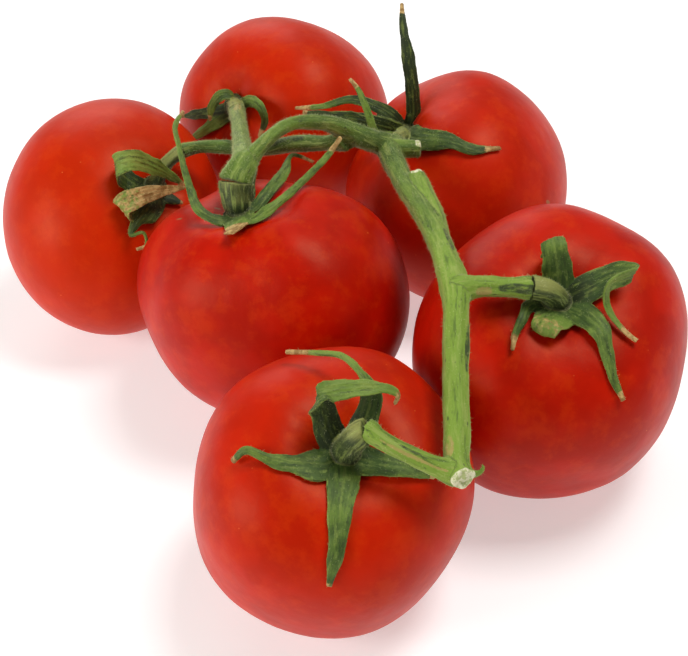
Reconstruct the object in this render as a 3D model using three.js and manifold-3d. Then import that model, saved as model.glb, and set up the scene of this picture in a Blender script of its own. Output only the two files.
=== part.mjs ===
// A truss of ripe tomatoes lying on a flat surface: six fruit, the green calyx on each of them,
// and the branching stalk that joins them all. Millimetres, +Z up. The fruit rest on z = 0 and
// the origin is on that surface, under the middle of the bunch.
import * as THREE from "three";
import { mergeVertices } from "three/addons/utils/BufferGeometryUtils.js";
import Module from "manifold-3d";

const wasm = await Module();
wasm.setup();

// Clearances and the flat spot pressed into the underside of each fruit.
const REST_CUT = 0.6;
const SKIN_GAP = 0.35;
const KNUCKLE_GAP = 0.3;

// The hollow round the stalk at the top of every fruit.
const HOLLOW_DEPTH = 4.5;
const HOLLOW_WIDTH = 8;

// How finely the surfaces are divided. Rings crowd towards the stalk end of a fruit by a power.
const FRUIT_SIDES = 30;
const FRUIT_RINGS = 19;
const RING_CROWDING = 1.15;
const STEM_SIDES = 10;
const STEM_STEP = 4;
const BLADE_STEP = 3.6;

// Sepals: thickness at the rim and over the midrib, how far the rim hangs below the midrib as a
// share of the width, how far the middle of a blade stays above any skin, and how high above the
// middle of the calyx a blade starts.
const BLADE_RIM = 0.6;
const BLADE_RIB = 0.9;
const BLADE_DROOP = 0.07;
const BLADE_LIFT = 0.85;
const BLADE_ROOT = 0.8;

// Receptacle: the small green cushion where sepals and stalk meet, as distance up the fruit's
// axis and radius.
const CUSHION = [[-1.2, 3], [0, 3.9], [1.4, 3.7], [2.8, 2.6]];

// Fruit. x and y place the centre, and lift holds a fruit off the surface. radius and height are
// half sizes, across and along the axis. The axis leans by tilt degrees towards azimuth, and the
// fruit is turned about it. squash makes the section oval, top and bottom are the squareness of
// the shoulder and of the blossom end, and the skin swells into a few shallow lobes. The lobes
// are LOBE_LOW as strong at the blossom end as at the shoulder.
const LOBE_LOW = 0.35;
const FRUIT = {
  front: {
    x: 1.4, y: -77.3, lift: 0, radius: 30.3, height: 26.4, tilt: 25, azimuth: 290.5, turn: 36,
    squash: -0.015, top: 2.8, bottom: 2.4, lobes: 5, lobe: 0.016, phase: 196,
  },
  right: {
    x: 54.7, y: -37.9, lift: 0, radius: 33.6, height: 29.1, tilt: 22.5, azimuth: 266, turn: 155.5,
    squash: 0.05, top: 2.9, bottom: 2, lobes: 5, lobe: 0.02, phase: 215,
  },
  middle: {
    x: -11.9, y: -16.4, lift: 4.1, radius: 31.8, height: 29.1, tilt: 14, azimuth: 166, turn: -8,
    squash: 0.108, top: 2.2, bottom: 2.4, lobes: 5, lobe: 0.033, phase: 5,
  },
  left: {
    x: -57.4, y: 29.3, lift: 0, radius: 32.6, height: 27.5, tilt: 49.5, azimuth: 321.5, turn: 125,
    squash: 0.055, top: 2, bottom: 2.1, lobes: 5, lobe: 0.003, phase: 3,
  },
  back_left: {
    x: -9.3, y: 77.8, lift: 0, radius: 31.8, height: 27.7, tilt: 56.5, azimuth: 226, turn: 184.5,
    squash: -0.037, top: 2.6, bottom: 2.3, lobes: 5, lobe: 0.009, phase: 258,
  },
  back_right: {
    x: 40.6, y: 35, lift: 0, radius: 32.5, height: 28, tilt: 39.5, azimuth: 181.5, turn: 77.5,
    squash: 0.045, top: 2.5, bottom: 2.25, lobes: 5, lobe: 0.019, phase: 77,
  },
};

// Stalk. Every entry of a route is x, y, z and radius. The main stem runs from its cut end over
// the fruit to the fork, and the stubs are broken side shoots on it.
const MAIN_STEM = [
  [27.4, -98.4, 52.3, 2.3], [26.5, -95.2, 52, 2.6], [27.3, -86, 53.5, 2.65], [28.2, -74, 56, 2.7],
  [29.8, -59.5, 59.5, 2.8], [30.5, -48.5, 60.5, 3.3], [28.8, -33.5, 60.5, 2.8], [26.3, -19.5, 60, 2.8],
  [22.5, -4.5, 59, 2.6],
  [20.5, 7.5, 58, 2.9], [19, 14.5, 58, 3.1], [13, 11.5, 62.5, 2.9], [8, 10.5, 66, 2.4],
  [3, 8, 69.5, 1.9], [-5, 3.5, 72, 1.7], [-11.5, -3.5, 71, 1.7], [-15.5, -7.5, 68.5, 2.5],
];
const STUBS = [
  [[30, -33, 60, 1.8], [28, -18, 60, 2.6], [26.5, -11, 60.5, 2.6], [25.5, -5, 61, 2.3]],
  [[20, 13.5, 58, 2.6], [24, 13, 57.8, 2.5], [28, 12.6, 57.6, 2.3]],
];

// Side arms, one to a fruit, and beyond the knuckle the last piece of stalk, which comes away
// with the calyx when a fruit is picked and ends in the middle of it.
const ARMS = {
  front: [
    [26.4, -95.8, 51.6, 2.2], [21.5, -95, 53.5, 1.9], [15.5, -93, 56, 1.8], [11.5, -91, 57.5, 1.9],
    [9.5, -89.5, 58, 2.3],
  ],
  right: [
    [31, -50.5, 60.5, 2.8], [36, -49.5, 60.5, 2.3], [41.5, -49.5, 60, 2.2], [47, -49.5, 59.5, 2.5],
  ],
  middle: [[-15.5, -6.5, 68.5, 2.6], [-17, -10, 67.5, 3.6], [-18, -11.5, 66, 4.1]],
  left: [
    [9, 10, 63, 2.2], [4, 13, 60.5, 1.9], [-2, 16, 59, 2.2], [-7, 18, 57.5, 2.1],
    [-13.5, 19.5, 55.5, 1.6], [-22.5, 24, 54, 1.9], [-30, 25, 54, 1.6], [-35, 23, 54, 1.8],
  ],
  back_left: [
    [-16, -7.5, 68, 2.8], [-18, 13.5, 62, 2.3], [-20, 34.5, 55.5, 2.1], [-21.5, 48.5, 50.5, 2.3],
  ],
  back_right: [[20, 16, 57, 2.4], [22, 21, 55, 2.2]],
};
const STALKS = {
  front: [[7.5, -89.5, 56.5, 2.7], [6, -88, 53, 2.7]],
  right: [[50.5, -49.5, 58.5, 2.6], [53, -48.5, 55.5, 2.7]],
  middle: [[-18, -13.5, 62, 3.9]],
  left: [[-38.5, 20, 53, 1.8], [-41, 17.5, 50.5, 1.9]],
  back_left: [[-22.5, 57, 47.5, 2.2]],
  back_right: [[24.5, 28, 52, 2.3]],
};

// The foot of a stalk: its radius, and how high above the middle of the calyx it ends.
const STALK_FOOT = 2.9;
const STALK_END = 0.6;

// Sepals. A route gives the points that a blade's middle line passes, measured from the middle of
// its calyx. widths are given at even shares of its length, and twist has pairs of share and
// degrees that turn the blade about that line.
const SEPALS = {
  front: [
    {
      widths: [7.4, 6.4, 4.7, 3.4, 1.3],
      route: [[0, -6, 1], [-1, -12, -1], [-2, -19, -5], [-4, -23, -12]],
    },
    {
      widths: [6.4, 6.6, 3.4, 1.9, 1.3], twist: [[0, -10], [0.5, -24], [1, -30]],
      route: [[-4, -4, 2], [-9, -5, 3.4], [-14, -4.5, 4.4], [-19, -3, 6], [-22, -3, 3]],
    },
    { widths: [7.2, 6.6, 4.8, 3, 1.2], route: [[5, -3, 1], [11, -5, 1], [18, -5, -2]] },
    {
      widths: [5, 6.2, 6, 5.4, 4.6, 3.6, 2, 1], twist: [[0, -22], [0.4, -10], [0.52, 104], [1, 104]],
      route: [
        [-2.4, 0.6, 6.2], [-3.3, 1.2, 11], [-4, 0.4, 16.4], [-0.8, 2, 16], [5, 3, 15.4],
        [9.6, 3.4, 14.4], [11.3, 3.3, 12.8], [10.6, 3, 10.8],
      ],
    },
    {
      widths: [5, 5.6, 4.8, 1.6, 1.3, 1.2, 1],
      route: [[4, 3, 5], [6, 5, 11], [5, 7, 14], [1, 13, 15], [-5, 17, 13], [-11, 20, 11]],
    },
  ],
  right: [
    {
      widths: [7, 7.6, 6.8, 5.8, 5.4, 4],
      route: [[0, 3, 6], [-1, 4.8, 12.6], [-1.2, 6.8, 13.6], [-2, 8, 8.5]],
    },
    {
      widths: [6.5, 7, 6.8, 5.8, 3.2, 2.1, 1.8, 1.5, 1],
      route: [
        [6, 0, 5], [11.4, 0, 8], [15.2, -2, 10.2], [9.4, -5, 10], [9, -6, 5], [12, -10, 1],
        [15, -12, -1],
      ],
    },
    {
      widths: [6.4, 7, 5.2, 3.1, 2.2, 1.1],
      route: [[4, -5, 2], [7, -11, 2], [8, -15, -1], [9, -19, -5], [11, -22, -9]],
    },
    {
      widths: [7, 8.6, 8.4, 7, 4],
      route: [[-2, -6, 2], [-4.6, -9.8, 3], [-5.2, -10.8, 1.2], [-4.4, -9.4, 0.8]],
    },
    {
      widths: [5, 4.6, 3.2, 2.4, 1.7, 1],
      route: [[-7, -3, 3], [-9, -7, 3], [-11, -10, 1], [-12, -13, -1]],
    },
  ],
  middle: [
    {
      widths: [4, 2.8, 2.1, 1.8, 1.5, 1], twist: [[0, -40], [0.2, -50], [0.4, -20], [0.6, 0]],
      route: [[-4, -5, 3], [-9, -2, 4], [-12, 7, 5], [-15, 20, 7], [-17, 31, 8], [-16, 42, 6]],
    },
    {
      widths: [4.8, 3.6, 2.1, 1.8, 1.7, 1.2], twist: [[0, 10], [0.2, 55], [0.4, 80]],
      route: [[3, -8, 4], [7, -8, 7], [12, -3, 8], [17, 5, 8], [21.5, 13, 8], [25.2, 20.6, 8.6]],
    },
    {
      widths: [3.8, 3.6, 3.4, 2.6, 1.2, 0.9], twist: [[0, 50], [0.2, 65], [0.8, 65], [1, 90]],
      route: [[4, -2, 4], [8, 3, 6], [11, 12, 5], [13, 21, 4], [18, 22, 1]],
    },
    { widths: [7, 7.6, 6.6, 3.4], route: [[0, -7, 4], [-0.4, -11, 5], [-1.8, -13.2, 5]] },
    { widths: [4.6, 3.6, 2, 1], route: [[2, 3, 3], [3, 8, 5], [4, 12, 6]] },
  ],
  left: [
    {
      widths: [5, 6, 6.4, 6, 5.4, 4.6, 2.6, 1], twist: [[0, 0], [0.4, 10], [0.5, 50]],
      route: [
        [-3.5, -3, 3.5], [-5.8, -4, 7], [-6.8, -7, 11.6], [-5, -9, 15], [-2, -9, 15.6],
        [2.6, -6, 11.4], [9, -2, 3],
      ],
    },
    {
      widths: [5, 6.4, 6.4, 6, 4.4, 2.6, 1.2], twist: [[0, 0], [0.33, 0], [0.5, 40], [0.6, 60]],
      route: [[-3, -8, 2], [-5.6, -13, 3], [-5.6, -14, 5.2], [-0.6, -11, 6], [9, -2, 2]],
    },
    {
      widths: [7, 9, 7.6, 3, 1.3, 1.2, 1],
      route: [
        [0, -8, 0.5], [-3, -13.6, -0.4], [-4.2, -17.4, -1.8], [-1, -16.8, -1.6],
        [-0.6, -18.2, -4.8], [-3, -19.6, -5],
      ],
    },
    { widths: [6, 5, 3, 1], route: [[3, -1, -1], [8, -2, -3]] },
  ],
  back_left: [
    { widths: [5.4, 5.2, 3.4, 1], route: [[-5, -2, -2], [-10, -3, -5], [-16, -1, -10]] },
    {
      widths: [4, 3.6, 3.2, 2.6, 1], twist: [[0, 0], [0.5, -60], [1, -80]],
      route: [[-1, -2, 5], [-4, -3, 6], [-7, -4, 3], [-8, -5, -1]],
    },
    {
      widths: [4.4, 4, 3.6, 3, 2.2, 1], twist: [[0, 0], [0.4, 0], [1, -30]],
      route: [[5, -9, 7], [8, -15, 8], [9, -17, 5], [7, -17, 0]],
    },
    { widths: [4.6, 4, 3, 1], route: [[-7, 0, -1], [-18, 7, -6]] },
    { widths: [4, 3.4, 2.4, 1], route: [[2, -9, 0], [2, -12, -2]] },
  ],
  back_right: [
    {
      widths: [3.6, 4, 3.8, 3.7, 2.3, 1], twist: [[0, 70], [0.25, 86], [1, 88]],
      route: [[2, 0, 6], [2, 0, 13], [1, 2, 23], [0, 7, 30], [0, 12, 34]],
    },
    { widths: [5, 6.8, 6.8, 3.4, 1.1], route: [[3, -13, 7], [10, -18, 9], [16, -21, 8], [23, -19, 6]] },
    {
      widths: [4.6, 4.4, 3, 2.1, 1.6, 1],
      route: [[-3, -2, 7], [-8, -2, 11], [-15, -1, 13], [-22, -2, 12], [-30, 3, 9]],
    },
    {
      widths: [5.4, 5, 4, 2.8, 1.2], twist: [[0, 20], [0.5, 45]],
      route: [[-6, -4, 6], [-15, -4, 9], [-22, -2, 9], [-28, 4, 7]],
    },
    {
      widths: [2.6, 2.4, 2.3, 2.2, 1.8, 1],
      route: [[-5, -8, 6], [-9, -13, 10], [-11, -11, 16], [-13, -8, 20], [-15, -6, 22]],
    },
  ],
};

const finish = (name, color, roughness) =>
  new THREE.MeshStandardMaterial({ name, color, roughness, metalness: 0 });
const SKIN = finish("ripe_skin", 0xb01806, 0.4);
const STEM = finish("green_stalk", 0x7f9a45, 0.75);
const LEAF = finish("green_calyx", 0x4d7a33, 0.75);

const UP = new THREE.Vector3(0, 0, 1);
const ACROSS = new THREE.Vector3(0, 1, 0);

// Where the first point of a round section is, before it is laid square to its stalk.
const SECTION_START = new THREE.Vector3(1, 0.3, 0.2);
const vector = (numbers) => new THREE.Vector3(...numbers);
const turned = (axis, degrees) =>
  new THREE.Quaternion().setFromAxisAngle(axis, THREE.MathUtils.degToRad(degrees));

// Closed surface through a row of rings of points, with a point to close each end. Columns past
// the half way mark are split along the other diagonal when the rings are thin blades, so that
// both faces of a blade bend along the same lines.
function loft(rings, first, last, blade = false) {
  const sides = rings[0].length;
  const points = [...rings.flat(), first, last];
  const faces = [];
  const at = (ring, side) => ring * sides + (side % sides);
  for (let ring = 0; ring < rings.length - 1; ring += 1) {
    for (let side = 0; side < sides; side += 1) {
      const [a, b] = [at(ring, side), at(ring, side + 1)];
      const [c, d] = [at(ring + 1, side + 1), at(ring + 1, side)];
      if (blade && side >= sides / 2) {
        faces.push(a, b, d, b, c, d);
      } else {
        faces.push(a, b, c, a, c, d);
      }
    }
  }
  const [start, end] = [points.length - 2, points.length - 1];
  for (let side = 0; side < sides; side += 1) {
    faces.push(start, at(0, side + 1), at(0, side));
    faces.push(end, at(rings.length - 1, side), at(rings.length - 1, side + 1));
  }
  const geometry = new THREE.BufferGeometry().setFromPoints(points);
  geometry.setIndex(faces);
  return geometry;
}

function solidOf(geometry) {
  const bare = geometry.clone();
  bare.deleteAttribute("normal");
  bare.deleteAttribute("uv");
  const merged = mergeVertices(bare, 1e-4);
  return new wasm.Manifold(new wasm.Mesh({
    numProp: 3,
    vertProperties: new Float32Array(merged.attributes.position.array),
    triVerts: new Uint32Array(merged.index.array),
  }));
}

function geometryOf(solid) {
  const mesh = solid.getMesh();
  const geometry = new THREE.BufferGeometry();
  geometry.setAttribute("position", new THREE.BufferAttribute(new Float32Array(mesh.vertProperties), 3));
  geometry.setIndex(new THREE.BufferAttribute(new Uint32Array(mesh.triVerts), 1));
  geometry.computeVertexNormals();
  return geometry;
}

const joined = (solids) => solids.reduce((sum, solid) => sum.add(solid));
const centreOf = (ring) =>
  ring.reduce((sum, point) => sum.add(point), new THREE.Vector3()).divideScalar(ring.length);

// One fruit: a flattened ball with squared shoulders, shallow lobes and a hollow at the stalk.
class Fruit {
  constructor(shape) {
    this.shape = shape;
    this.turn = turned(UP, shape.azimuth)
      .multiply(turned(ACROSS, shape.tilt))
      .multiply(turned(UP, shape.turn));
    this.axis = UP.clone().applyQuaternion(this.turn);
    this.centre = new THREE.Vector3(shape.x, shape.y, shape.lift - this.lowest() - REST_CUT);
    this.hub = this.centre.clone().addScaledVector(this.axis, shape.height - HOLLOW_DEPTH);
  }

  // Point of the skin, around the axis and down from its top end (radians), grown outwards.
  local(around, down, grow = 0) {
    const { radius, height, top, bottom, lobes, lobe, phase, squash } = this.shape;
    const [out, up] = [Math.sin(down), Math.cos(down)];
    const shoulder = THREE.MathUtils.smoothstep((1 + up) / 2, 0, 1);
    const power = bottom + (top - bottom) * shoulder;
    const ripple = lobe * Math.cos(lobes * around + THREE.MathUtils.degToRad(phase));
    const reach = (Math.abs(out) / radius) ** power + (Math.abs(up) / height) ** power;
    const swell = 1 + ripple * out * THREE.MathUtils.lerp(LOBE_LOW, 1, shoulder);
    const r = reach ** (-1 / power) * swell + grow;
    const hollow = up > 0 ? HOLLOW_DEPTH * Math.exp(-(((r * out) / HOLLOW_WIDTH) ** 2)) : 0;
    return new THREE.Vector3(
      r * out * Math.cos(around) * (1 + squash),
      r * out * Math.sin(around) * (1 - squash),
      r * up - hollow,
    );
  }

  lowest() {
    let low = 0;
    const step = 0.05;
    for (let around = 0; around < 2 * Math.PI; around += step) {
      for (let down = step; down < Math.PI; down += step) {
        low = Math.min(low, this.local(around, down).applyQuaternion(this.turn).z);
      }
    }
    return low;
  }

  // How far a point is above the skin, measured along its line from the centre.
  clearance(point) {
    const q = point.clone().sub(this.centre).applyQuaternion(this.turn.clone().invert());
    const r = q.length();
    return r - this.local(Math.atan2(q.y, q.x), Math.acos(q.z / r)).length();
  }

  solid(grow = 0) {
    const place = (p) => p.applyQuaternion(this.turn).add(this.centre);
    const rings = [];
    for (let ring = 1; ring < FRUIT_RINGS; ring += 1) {
      const down = Math.PI * (ring / FRUIT_RINGS) ** RING_CROWDING;
      rings.push(Array.from({ length: FRUIT_SIDES }, (_, side) =>
        place(this.local((-2 * Math.PI * side) / FRUIT_SIDES, down, grow))));
    }
    return solidOf(loft(rings, place(this.local(0, 0, grow)), place(this.local(0, Math.PI, grow))));
  }
}

const fruits = Object.fromEntries(Object.entries(FRUIT).map(([name, shape]) => [name, new Fruit(shape)]));

// Moves a point out of every fruit until it is the given distance above the skin.
function liftedClear(point, distance) {
  const lifted = point.clone();
  for (const fruit of Object.values(fruits)) {
    const short = distance - fruit.clearance(lifted);
    if (short > 0) {
      lifted.addScaledVector(lifted.clone().sub(fruit.centre).normalize(), short);
    }
  }
  return lifted;
}

// Round stem through a route, from one share of its length to another. Its section has faint
// ridges, and the first ring can start a little late to leave a gap.
function stem(route, from = 0, to = 1, gap = 0) {
  const points = route.map((entry) => vector(entry.slice(0, 3)));
  const curve = new THREE.CatmullRomCurve3(points, false, "centripetal");
  const steps = Math.max(3, Math.round(((to - from) * curve.getLength()) / STEM_STEP));
  const spans = route.length - 1;
  const rings = [];
  let side = null;
  for (let step = 0; step <= steps; step += 1) {
    const t = from + ((to - from) * step) / steps;
    const tangent = curve.getTangent(t);
    const middle = curve.getPoint(t).addScaledVector(tangent, step === 0 ? gap : 0);
    side = (side ?? SECTION_START).clone().projectOnPlane(tangent).normalize();
    const other = tangent.clone().cross(side);
    const before = Math.min(spans - 1, Math.floor(t * spans));
    const blend = THREE.MathUtils.smoothstep(t * spans - before, 0, 1);
    const radius = THREE.MathUtils.lerp(route[before][3], route[before + 1][3], blend);
    rings.push(Array.from({ length: STEM_SIDES }, (_, k) => {
      const angle = (2 * Math.PI * k) / STEM_SIDES;
      return middle.clone()
        .addScaledVector(side, radius * Math.cos(angle))
        .addScaledVector(other, radius * Math.sin(angle));
    }));
  }
  return solidOf(loft(rings, centreOf(rings[0]), centreOf(rings[steps])));
}

// Value at a share from 0 to 1 of the way through a row of values, joined by smooth steps.
function spread(values, share) {
  const place = share * (values.length - 1);
  const before = Math.min(values.length - 2, Math.floor(place));
  const blend = THREE.MathUtils.smoothstep(place - before, 0, 1);
  return THREE.MathUtils.lerp(values[before], values[before + 1], blend);
}

// Degrees of twist at a share, joined straight between the pairs and held beyond them.
function twistAt(pairs, share) {
  const next = pairs.findIndex(([at]) => at > share);
  if (next < 1) {
    return pairs.at(next === 0 ? 0 : -1)[1];
  }
  const [[from, first], [to, second]] = [pairs[next - 1], pairs[next]];
  return THREE.MathUtils.mapLinear(share, from, to, first, second);
}

// One sepal: a thin blade, a little arched across, laid along its route and kept off the skin.
function sepal(fruit, { widths, route, twist = [[0, 0]] }) {
  const root = fruit.axis.clone().multiplyScalar(BLADE_ROOT);
  const points = [root, ...route.map(vector)].map((p) => p.add(fruit.hub));
  const curve = new THREE.CatmullRomCurve3(points, false, "centripetal");
  const steps = Math.max(5, Math.round(curve.getLength() / BLADE_STEP));
  const rings = [];
  let face = fruit.axis;
  for (let step = 0; step <= steps; step += 1) {
    const along = step / steps;
    const tangent = curve.getTangentAt(along);
    face = face.clone().projectOnPlane(tangent).normalize();
    const normal = face.clone().applyQuaternion(turned(tangent, twistAt(twist, along)));
    const across = tangent.clone().cross(normal);
    const width = spread(widths, along);
    const middle = curve.getPointAt(along);
    const edge = (sign) => middle.clone()
      .addScaledVector(across, (sign * width) / 2)
      .addScaledVector(normal, -width * BLADE_DROOP);
    const row = [edge(-1), middle, edge(1)].map((p) => liftedClear(p, BLADE_LIFT));
    const thick = [BLADE_RIM, BLADE_RIB, BLADE_RIM].map((t) => t / 2);
    const upper = row.map((p, k) => p.clone().addScaledVector(normal, thick[k]));
    const lower = row.map((p, k) => p.clone().addScaledVector(normal, -thick[k]));
    rings.push([...upper, ...lower.reverse()]);
  }
  return solidOf(loft(rings, centreOf(rings[0]), centreOf(rings[steps]), true));
}

function cushion(fruit) {
  const side = SECTION_START.clone().projectOnPlane(fruit.axis).normalize();
  const other = fruit.axis.clone().cross(side);
  const rings = CUSHION.map(([up, radius]) => Array.from({ length: STEM_SIDES }, (_, k) => {
    const angle = (2 * Math.PI * k) / STEM_SIDES;
    return fruit.hub.clone().addScaledVector(fruit.axis, up)
      .addScaledVector(side, radius * Math.cos(angle))
      .addScaledVector(other, radius * Math.sin(angle));
  }));
  return solidOf(loft(rings, centreOf(rings[0]), centreOf(rings.at(-1))));
}

// The whole way from the main stem to the middle of a calyx; the knuckle is where the arm ends.
function fruitStalk(name) {
  const end = fruits[name].hub.clone().addScaledVector(fruits[name].axis, STALK_END);
  const route = [...ARMS[name], ...STALKS[name], [...end.toArray(), STALK_FOOT]];
  const knuckle = (ARMS[name].length - 1) / (route.length - 1);
  return { arm: stem(route, 0, knuckle), stalk: stem(route, knuckle, 1, KNUCKLE_GAP) };
}

function makeTomato(name) {
  const floor = solidOf(new THREE.BoxGeometry(400, 400, 100).translate(0, 0, -50));
  return fruits[name].solid().subtract(floor);
}

function makeCalyx(name) {
  const fruit = fruits[name];
  const blades = SEPALS[name].map((blade) => sepal(fruit, blade));
  return joined([cushion(fruit), fruitStalk(name).stalk, ...blades]).subtract(fruit.solid(SKIN_GAP));
}

function makeTrussStem() {
  const arms = Object.keys(FRUIT).map((name) => fruitStalk(name).arm);
  return joined([stem(MAIN_STEM), ...STUBS.map((route) => stem(route)), ...arms]);
}

function meshOf(name, solid, material, origin = new THREE.Vector3()) {
  const geometry = geometryOf(solid).translate(-origin.x, -origin.y, -origin.z);
  const mesh = new THREE.Mesh(geometry, material.clone());
  mesh.name = name;
  return mesh;
}

const truss = new THREE.Group();
truss.add(meshOf("truss_stem", makeTrussStem(), STEM));
for (const [name, fruit] of Object.entries(fruits)) {
  const picked = new THREE.Group();
  picked.position.copy(fruit.centre);
  picked.add(meshOf(`tomato_${name}`, makeTomato(name), SKIN, fruit.centre));
  picked.add(meshOf(`calyx_${name}`, makeCalyx(name), LEAF, fruit.centre));
  truss.add(picked);
}

export default truss;
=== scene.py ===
"""A truss of six ripe tomatoes lying on a pale floor: fine skins, stalks, calyces and their hairs.

Sizes and places are in millimetres, and a mesh is turned to metres when it is written.
"""

import logging
import math
from dataclasses import dataclass, field
from enum import Enum

import bpy
import numpy as np
from mathutils import Matrix


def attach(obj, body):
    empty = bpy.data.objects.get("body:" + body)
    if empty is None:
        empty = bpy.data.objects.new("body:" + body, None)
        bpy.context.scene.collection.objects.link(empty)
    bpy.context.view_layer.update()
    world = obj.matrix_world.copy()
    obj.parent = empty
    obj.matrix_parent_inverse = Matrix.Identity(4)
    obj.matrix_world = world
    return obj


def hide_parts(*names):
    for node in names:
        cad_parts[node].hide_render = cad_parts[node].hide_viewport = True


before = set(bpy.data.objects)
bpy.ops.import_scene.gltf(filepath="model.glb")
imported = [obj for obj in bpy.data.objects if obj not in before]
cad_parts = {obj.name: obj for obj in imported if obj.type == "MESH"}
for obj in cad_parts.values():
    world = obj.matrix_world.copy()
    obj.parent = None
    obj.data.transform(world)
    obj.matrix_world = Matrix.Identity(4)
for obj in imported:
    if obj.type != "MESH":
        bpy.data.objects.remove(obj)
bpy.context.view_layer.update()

LOG = logging.getLogger("truss")
MM = 0.001
UP = np.array([0.0, 0.0, 1.0])

# The fruit: how deep the flat spot is pressed, the hollow round the stalk, how much of a lobe is
# left low on the side, and the steps of its skin.
REST_CUT = 0.6
HOLLOW_DEPTH = 4.5
HOLLOW_WIDTH = 8.0
LOBE_LOW = 0.35
SEARCH_STEP = 0.05
SKIN_AROUND = 150
SKIN_DOWN = 104
END_CROWDING = 0.1

# Unevenness of the fruit's skin: height, size and seed step of each set of lumps, then the creases
# that fan out from the hollow and the dimple at the blossom end.
SKIN_LUMPS = ((0.24, 17, 0), (0.1, 6.5, 1), (0.025, 2.8, 3))
CREASE_HEIGHT = 0.16
CREASE_OFF_AXIS = 9
CREASE_REACH = 5
CREASES_ROUND = 4
DIMPLE_DEPTH = 0.5
DIMPLE_WIDTH = 2.2

# The stalks: the gap and the swelling at a knuckle, the foot on the fruit, and the side that the
# rings of a tube start from.
KNUCKLE_GAP = 0.3
KNUCKLE_SWELL = 0.2
ARM_FLARE = 0.6
STALK_FOOT = 2.9
FOOT_HEIGHT = 0.6
RING_START = np.array([1, 0.3, 0.2])

# Relief of the stalks: the long ridges, then height, size and seed of wrinkles, lumps and warts.
# Wrinkles are drawn out along the stalk.
RIDGES = 6
RIDGE_HEIGHT = 0.07
RIDGE_LEAN = 0.02
DRAWN_OUT = np.array([0.18, 1, 1])
WRINKLES = ((0.13, 1.3, 11), (0.07, 0.6, 12))
LUMPS = (0.12, 3.6, 13)
WARTS = (0.12, 0.8, 14)
WART_PEAKS = (0.55, 0.9)

# Relief of the sepals: height, size and seed of their wrinkles, drawn out along the blade.
SEPAL_DRAWN_OUT = np.array([0.35, 1, 3])
SEPAL_WRINKLE = (0.07, 0.9, 21)
SEPAL_LUMPS = (0.05, 2.2, 22)

# The size of the cells that fuse the greens, and how many points are compared at a time.
STEM_CELL = 0.34
CALYX_CELL = 0.24
BLOCK = 3000


class Place(Enum):
    """The six fruit, named by where they lie."""

    FRONT = "front"
    RIGHT = "right"
    MIDDLE = "middle"
    LEFT = "left"
    BACK_LEFT = "back_left"
    BACK_RIGHT = "back_right"


class Tag(Enum):
    """Names of the mesh attributes that the finishes read."""

    SKIN = "skin_place"
    GRAIN = "grain"
    BLADE = "blade"
    FRESH = "fresh"
    LIGHT = "light"
    PALE = "pale"
    BROWN = "brown"
    DARK = "dark"


class Slot(Enum):
    """The record's material slots."""

    SKIN = "skin"
    STALK = "stalk"
    CALYX = "calyx"


def unit(vectors: np.ndarray) -> np.ndarray:
    """Vectors of length 1 in the same directions."""
    return vectors / np.maximum(np.linalg.norm(vectors, axis=-1, keepdims=True), 1e-12)


def eased(values: np.ndarray, low: float = 0.0, high: float = 1.0) -> np.ndarray:
    """Smooth step: 0 below low, 1 above high, and x * x * (3 - 2 * x) of the way x between."""
    x = np.clip((values - low) / (high - low), 0.0, 1.0)
    return x * x * (3 - 2 * x)


def bell(values: np.ndarray, width: float) -> np.ndarray:
    """Bell curve: exp(-(x / width) squared)."""
    return np.exp(-((values / width) ** 2))


def lattice_value(cells: np.ndarray, seed: int) -> np.ndarray:
    """Repeatable number from 0 to 1 for each whole-numbered lattice cell, by mixing its bits.

    The cell's three numbers and the seed are added after each is multiplied by a large odd number.
    The sum is then crossed with itself, moved down some bits, and multiplied again, twice.

    Args:
        cells: Rows of three whole numbers.
        seed: Picks another set of numbers.

    Returns:
        One number for each cell.
    """
    mixed = cells @ np.array([73856093, 19349663, 83492791]) + seed * 374761393
    mixed = (mixed ^ (mixed >> 13)) * 1274126177 & 0x7FFFFFFF
    mixed = (mixed ^ (mixed >> 11)) * 668265263 & 0x7FFFFFFF
    return ((mixed ^ (mixed >> 15)) & 0xFFFF) / 65535.0


def soft_noise(points: np.ndarray, size: float, seed: int) -> np.ndarray:
    """Value noise from -1 to 1: lattice values every `size`, blended with smooth-step weights.

    Args:
        points: Rows of x, y, z.
        size: Distance between lattice values, in the points' own unit.
        seed: Picks the lattice values.

    Returns:
        One number for each point.
    """
    place = points / size
    cell = np.floor(place).astype(np.int64)
    weight = eased(place - cell)
    total = np.zeros(len(points))
    for corner in np.ndindex(2, 2, 2):
        share = np.prod(np.where(np.array(corner) == 1, weight, 1 - weight), axis=-1)
        total += share * lattice_value(cell + corner, seed)
    return 2 * total - 1


def spread(share: np.ndarray, values: tuple[float, ...]) -> np.ndarray:
    """Values given at even shares from 0 to 1, joined by smooth steps.

    Args:
        share: Where a value is wanted, from 0 to 1.
        values: The given values.

    Returns:
        One value for each share.
    """
    row = np.array([*values, values[-1]], float)
    place = share * max(1, len(values) - 1)
    before = np.minimum(place.astype(int), len(values) - 1)
    blend = eased(place - before)
    return row[before] * (1 - blend) + row[before + 1] * blend


def turn_about_z(degrees: float) -> np.ndarray:
    """Matrix that turns column vectors about Z."""
    c, s = math.cos(math.radians(degrees)), math.sin(math.radians(degrees))
    return np.array([[c, -s, 0], [s, c, 0], [0, 0, 1.0]])


def turn_about_y(degrees: float) -> np.ndarray:
    """Matrix that turns column vectors about Y."""
    c, s = math.cos(math.radians(degrees)), math.sin(math.radians(degrees))
    return np.array([[c, 0, s], [0, 1.0, 0], [-s, 0, c]])


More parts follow.
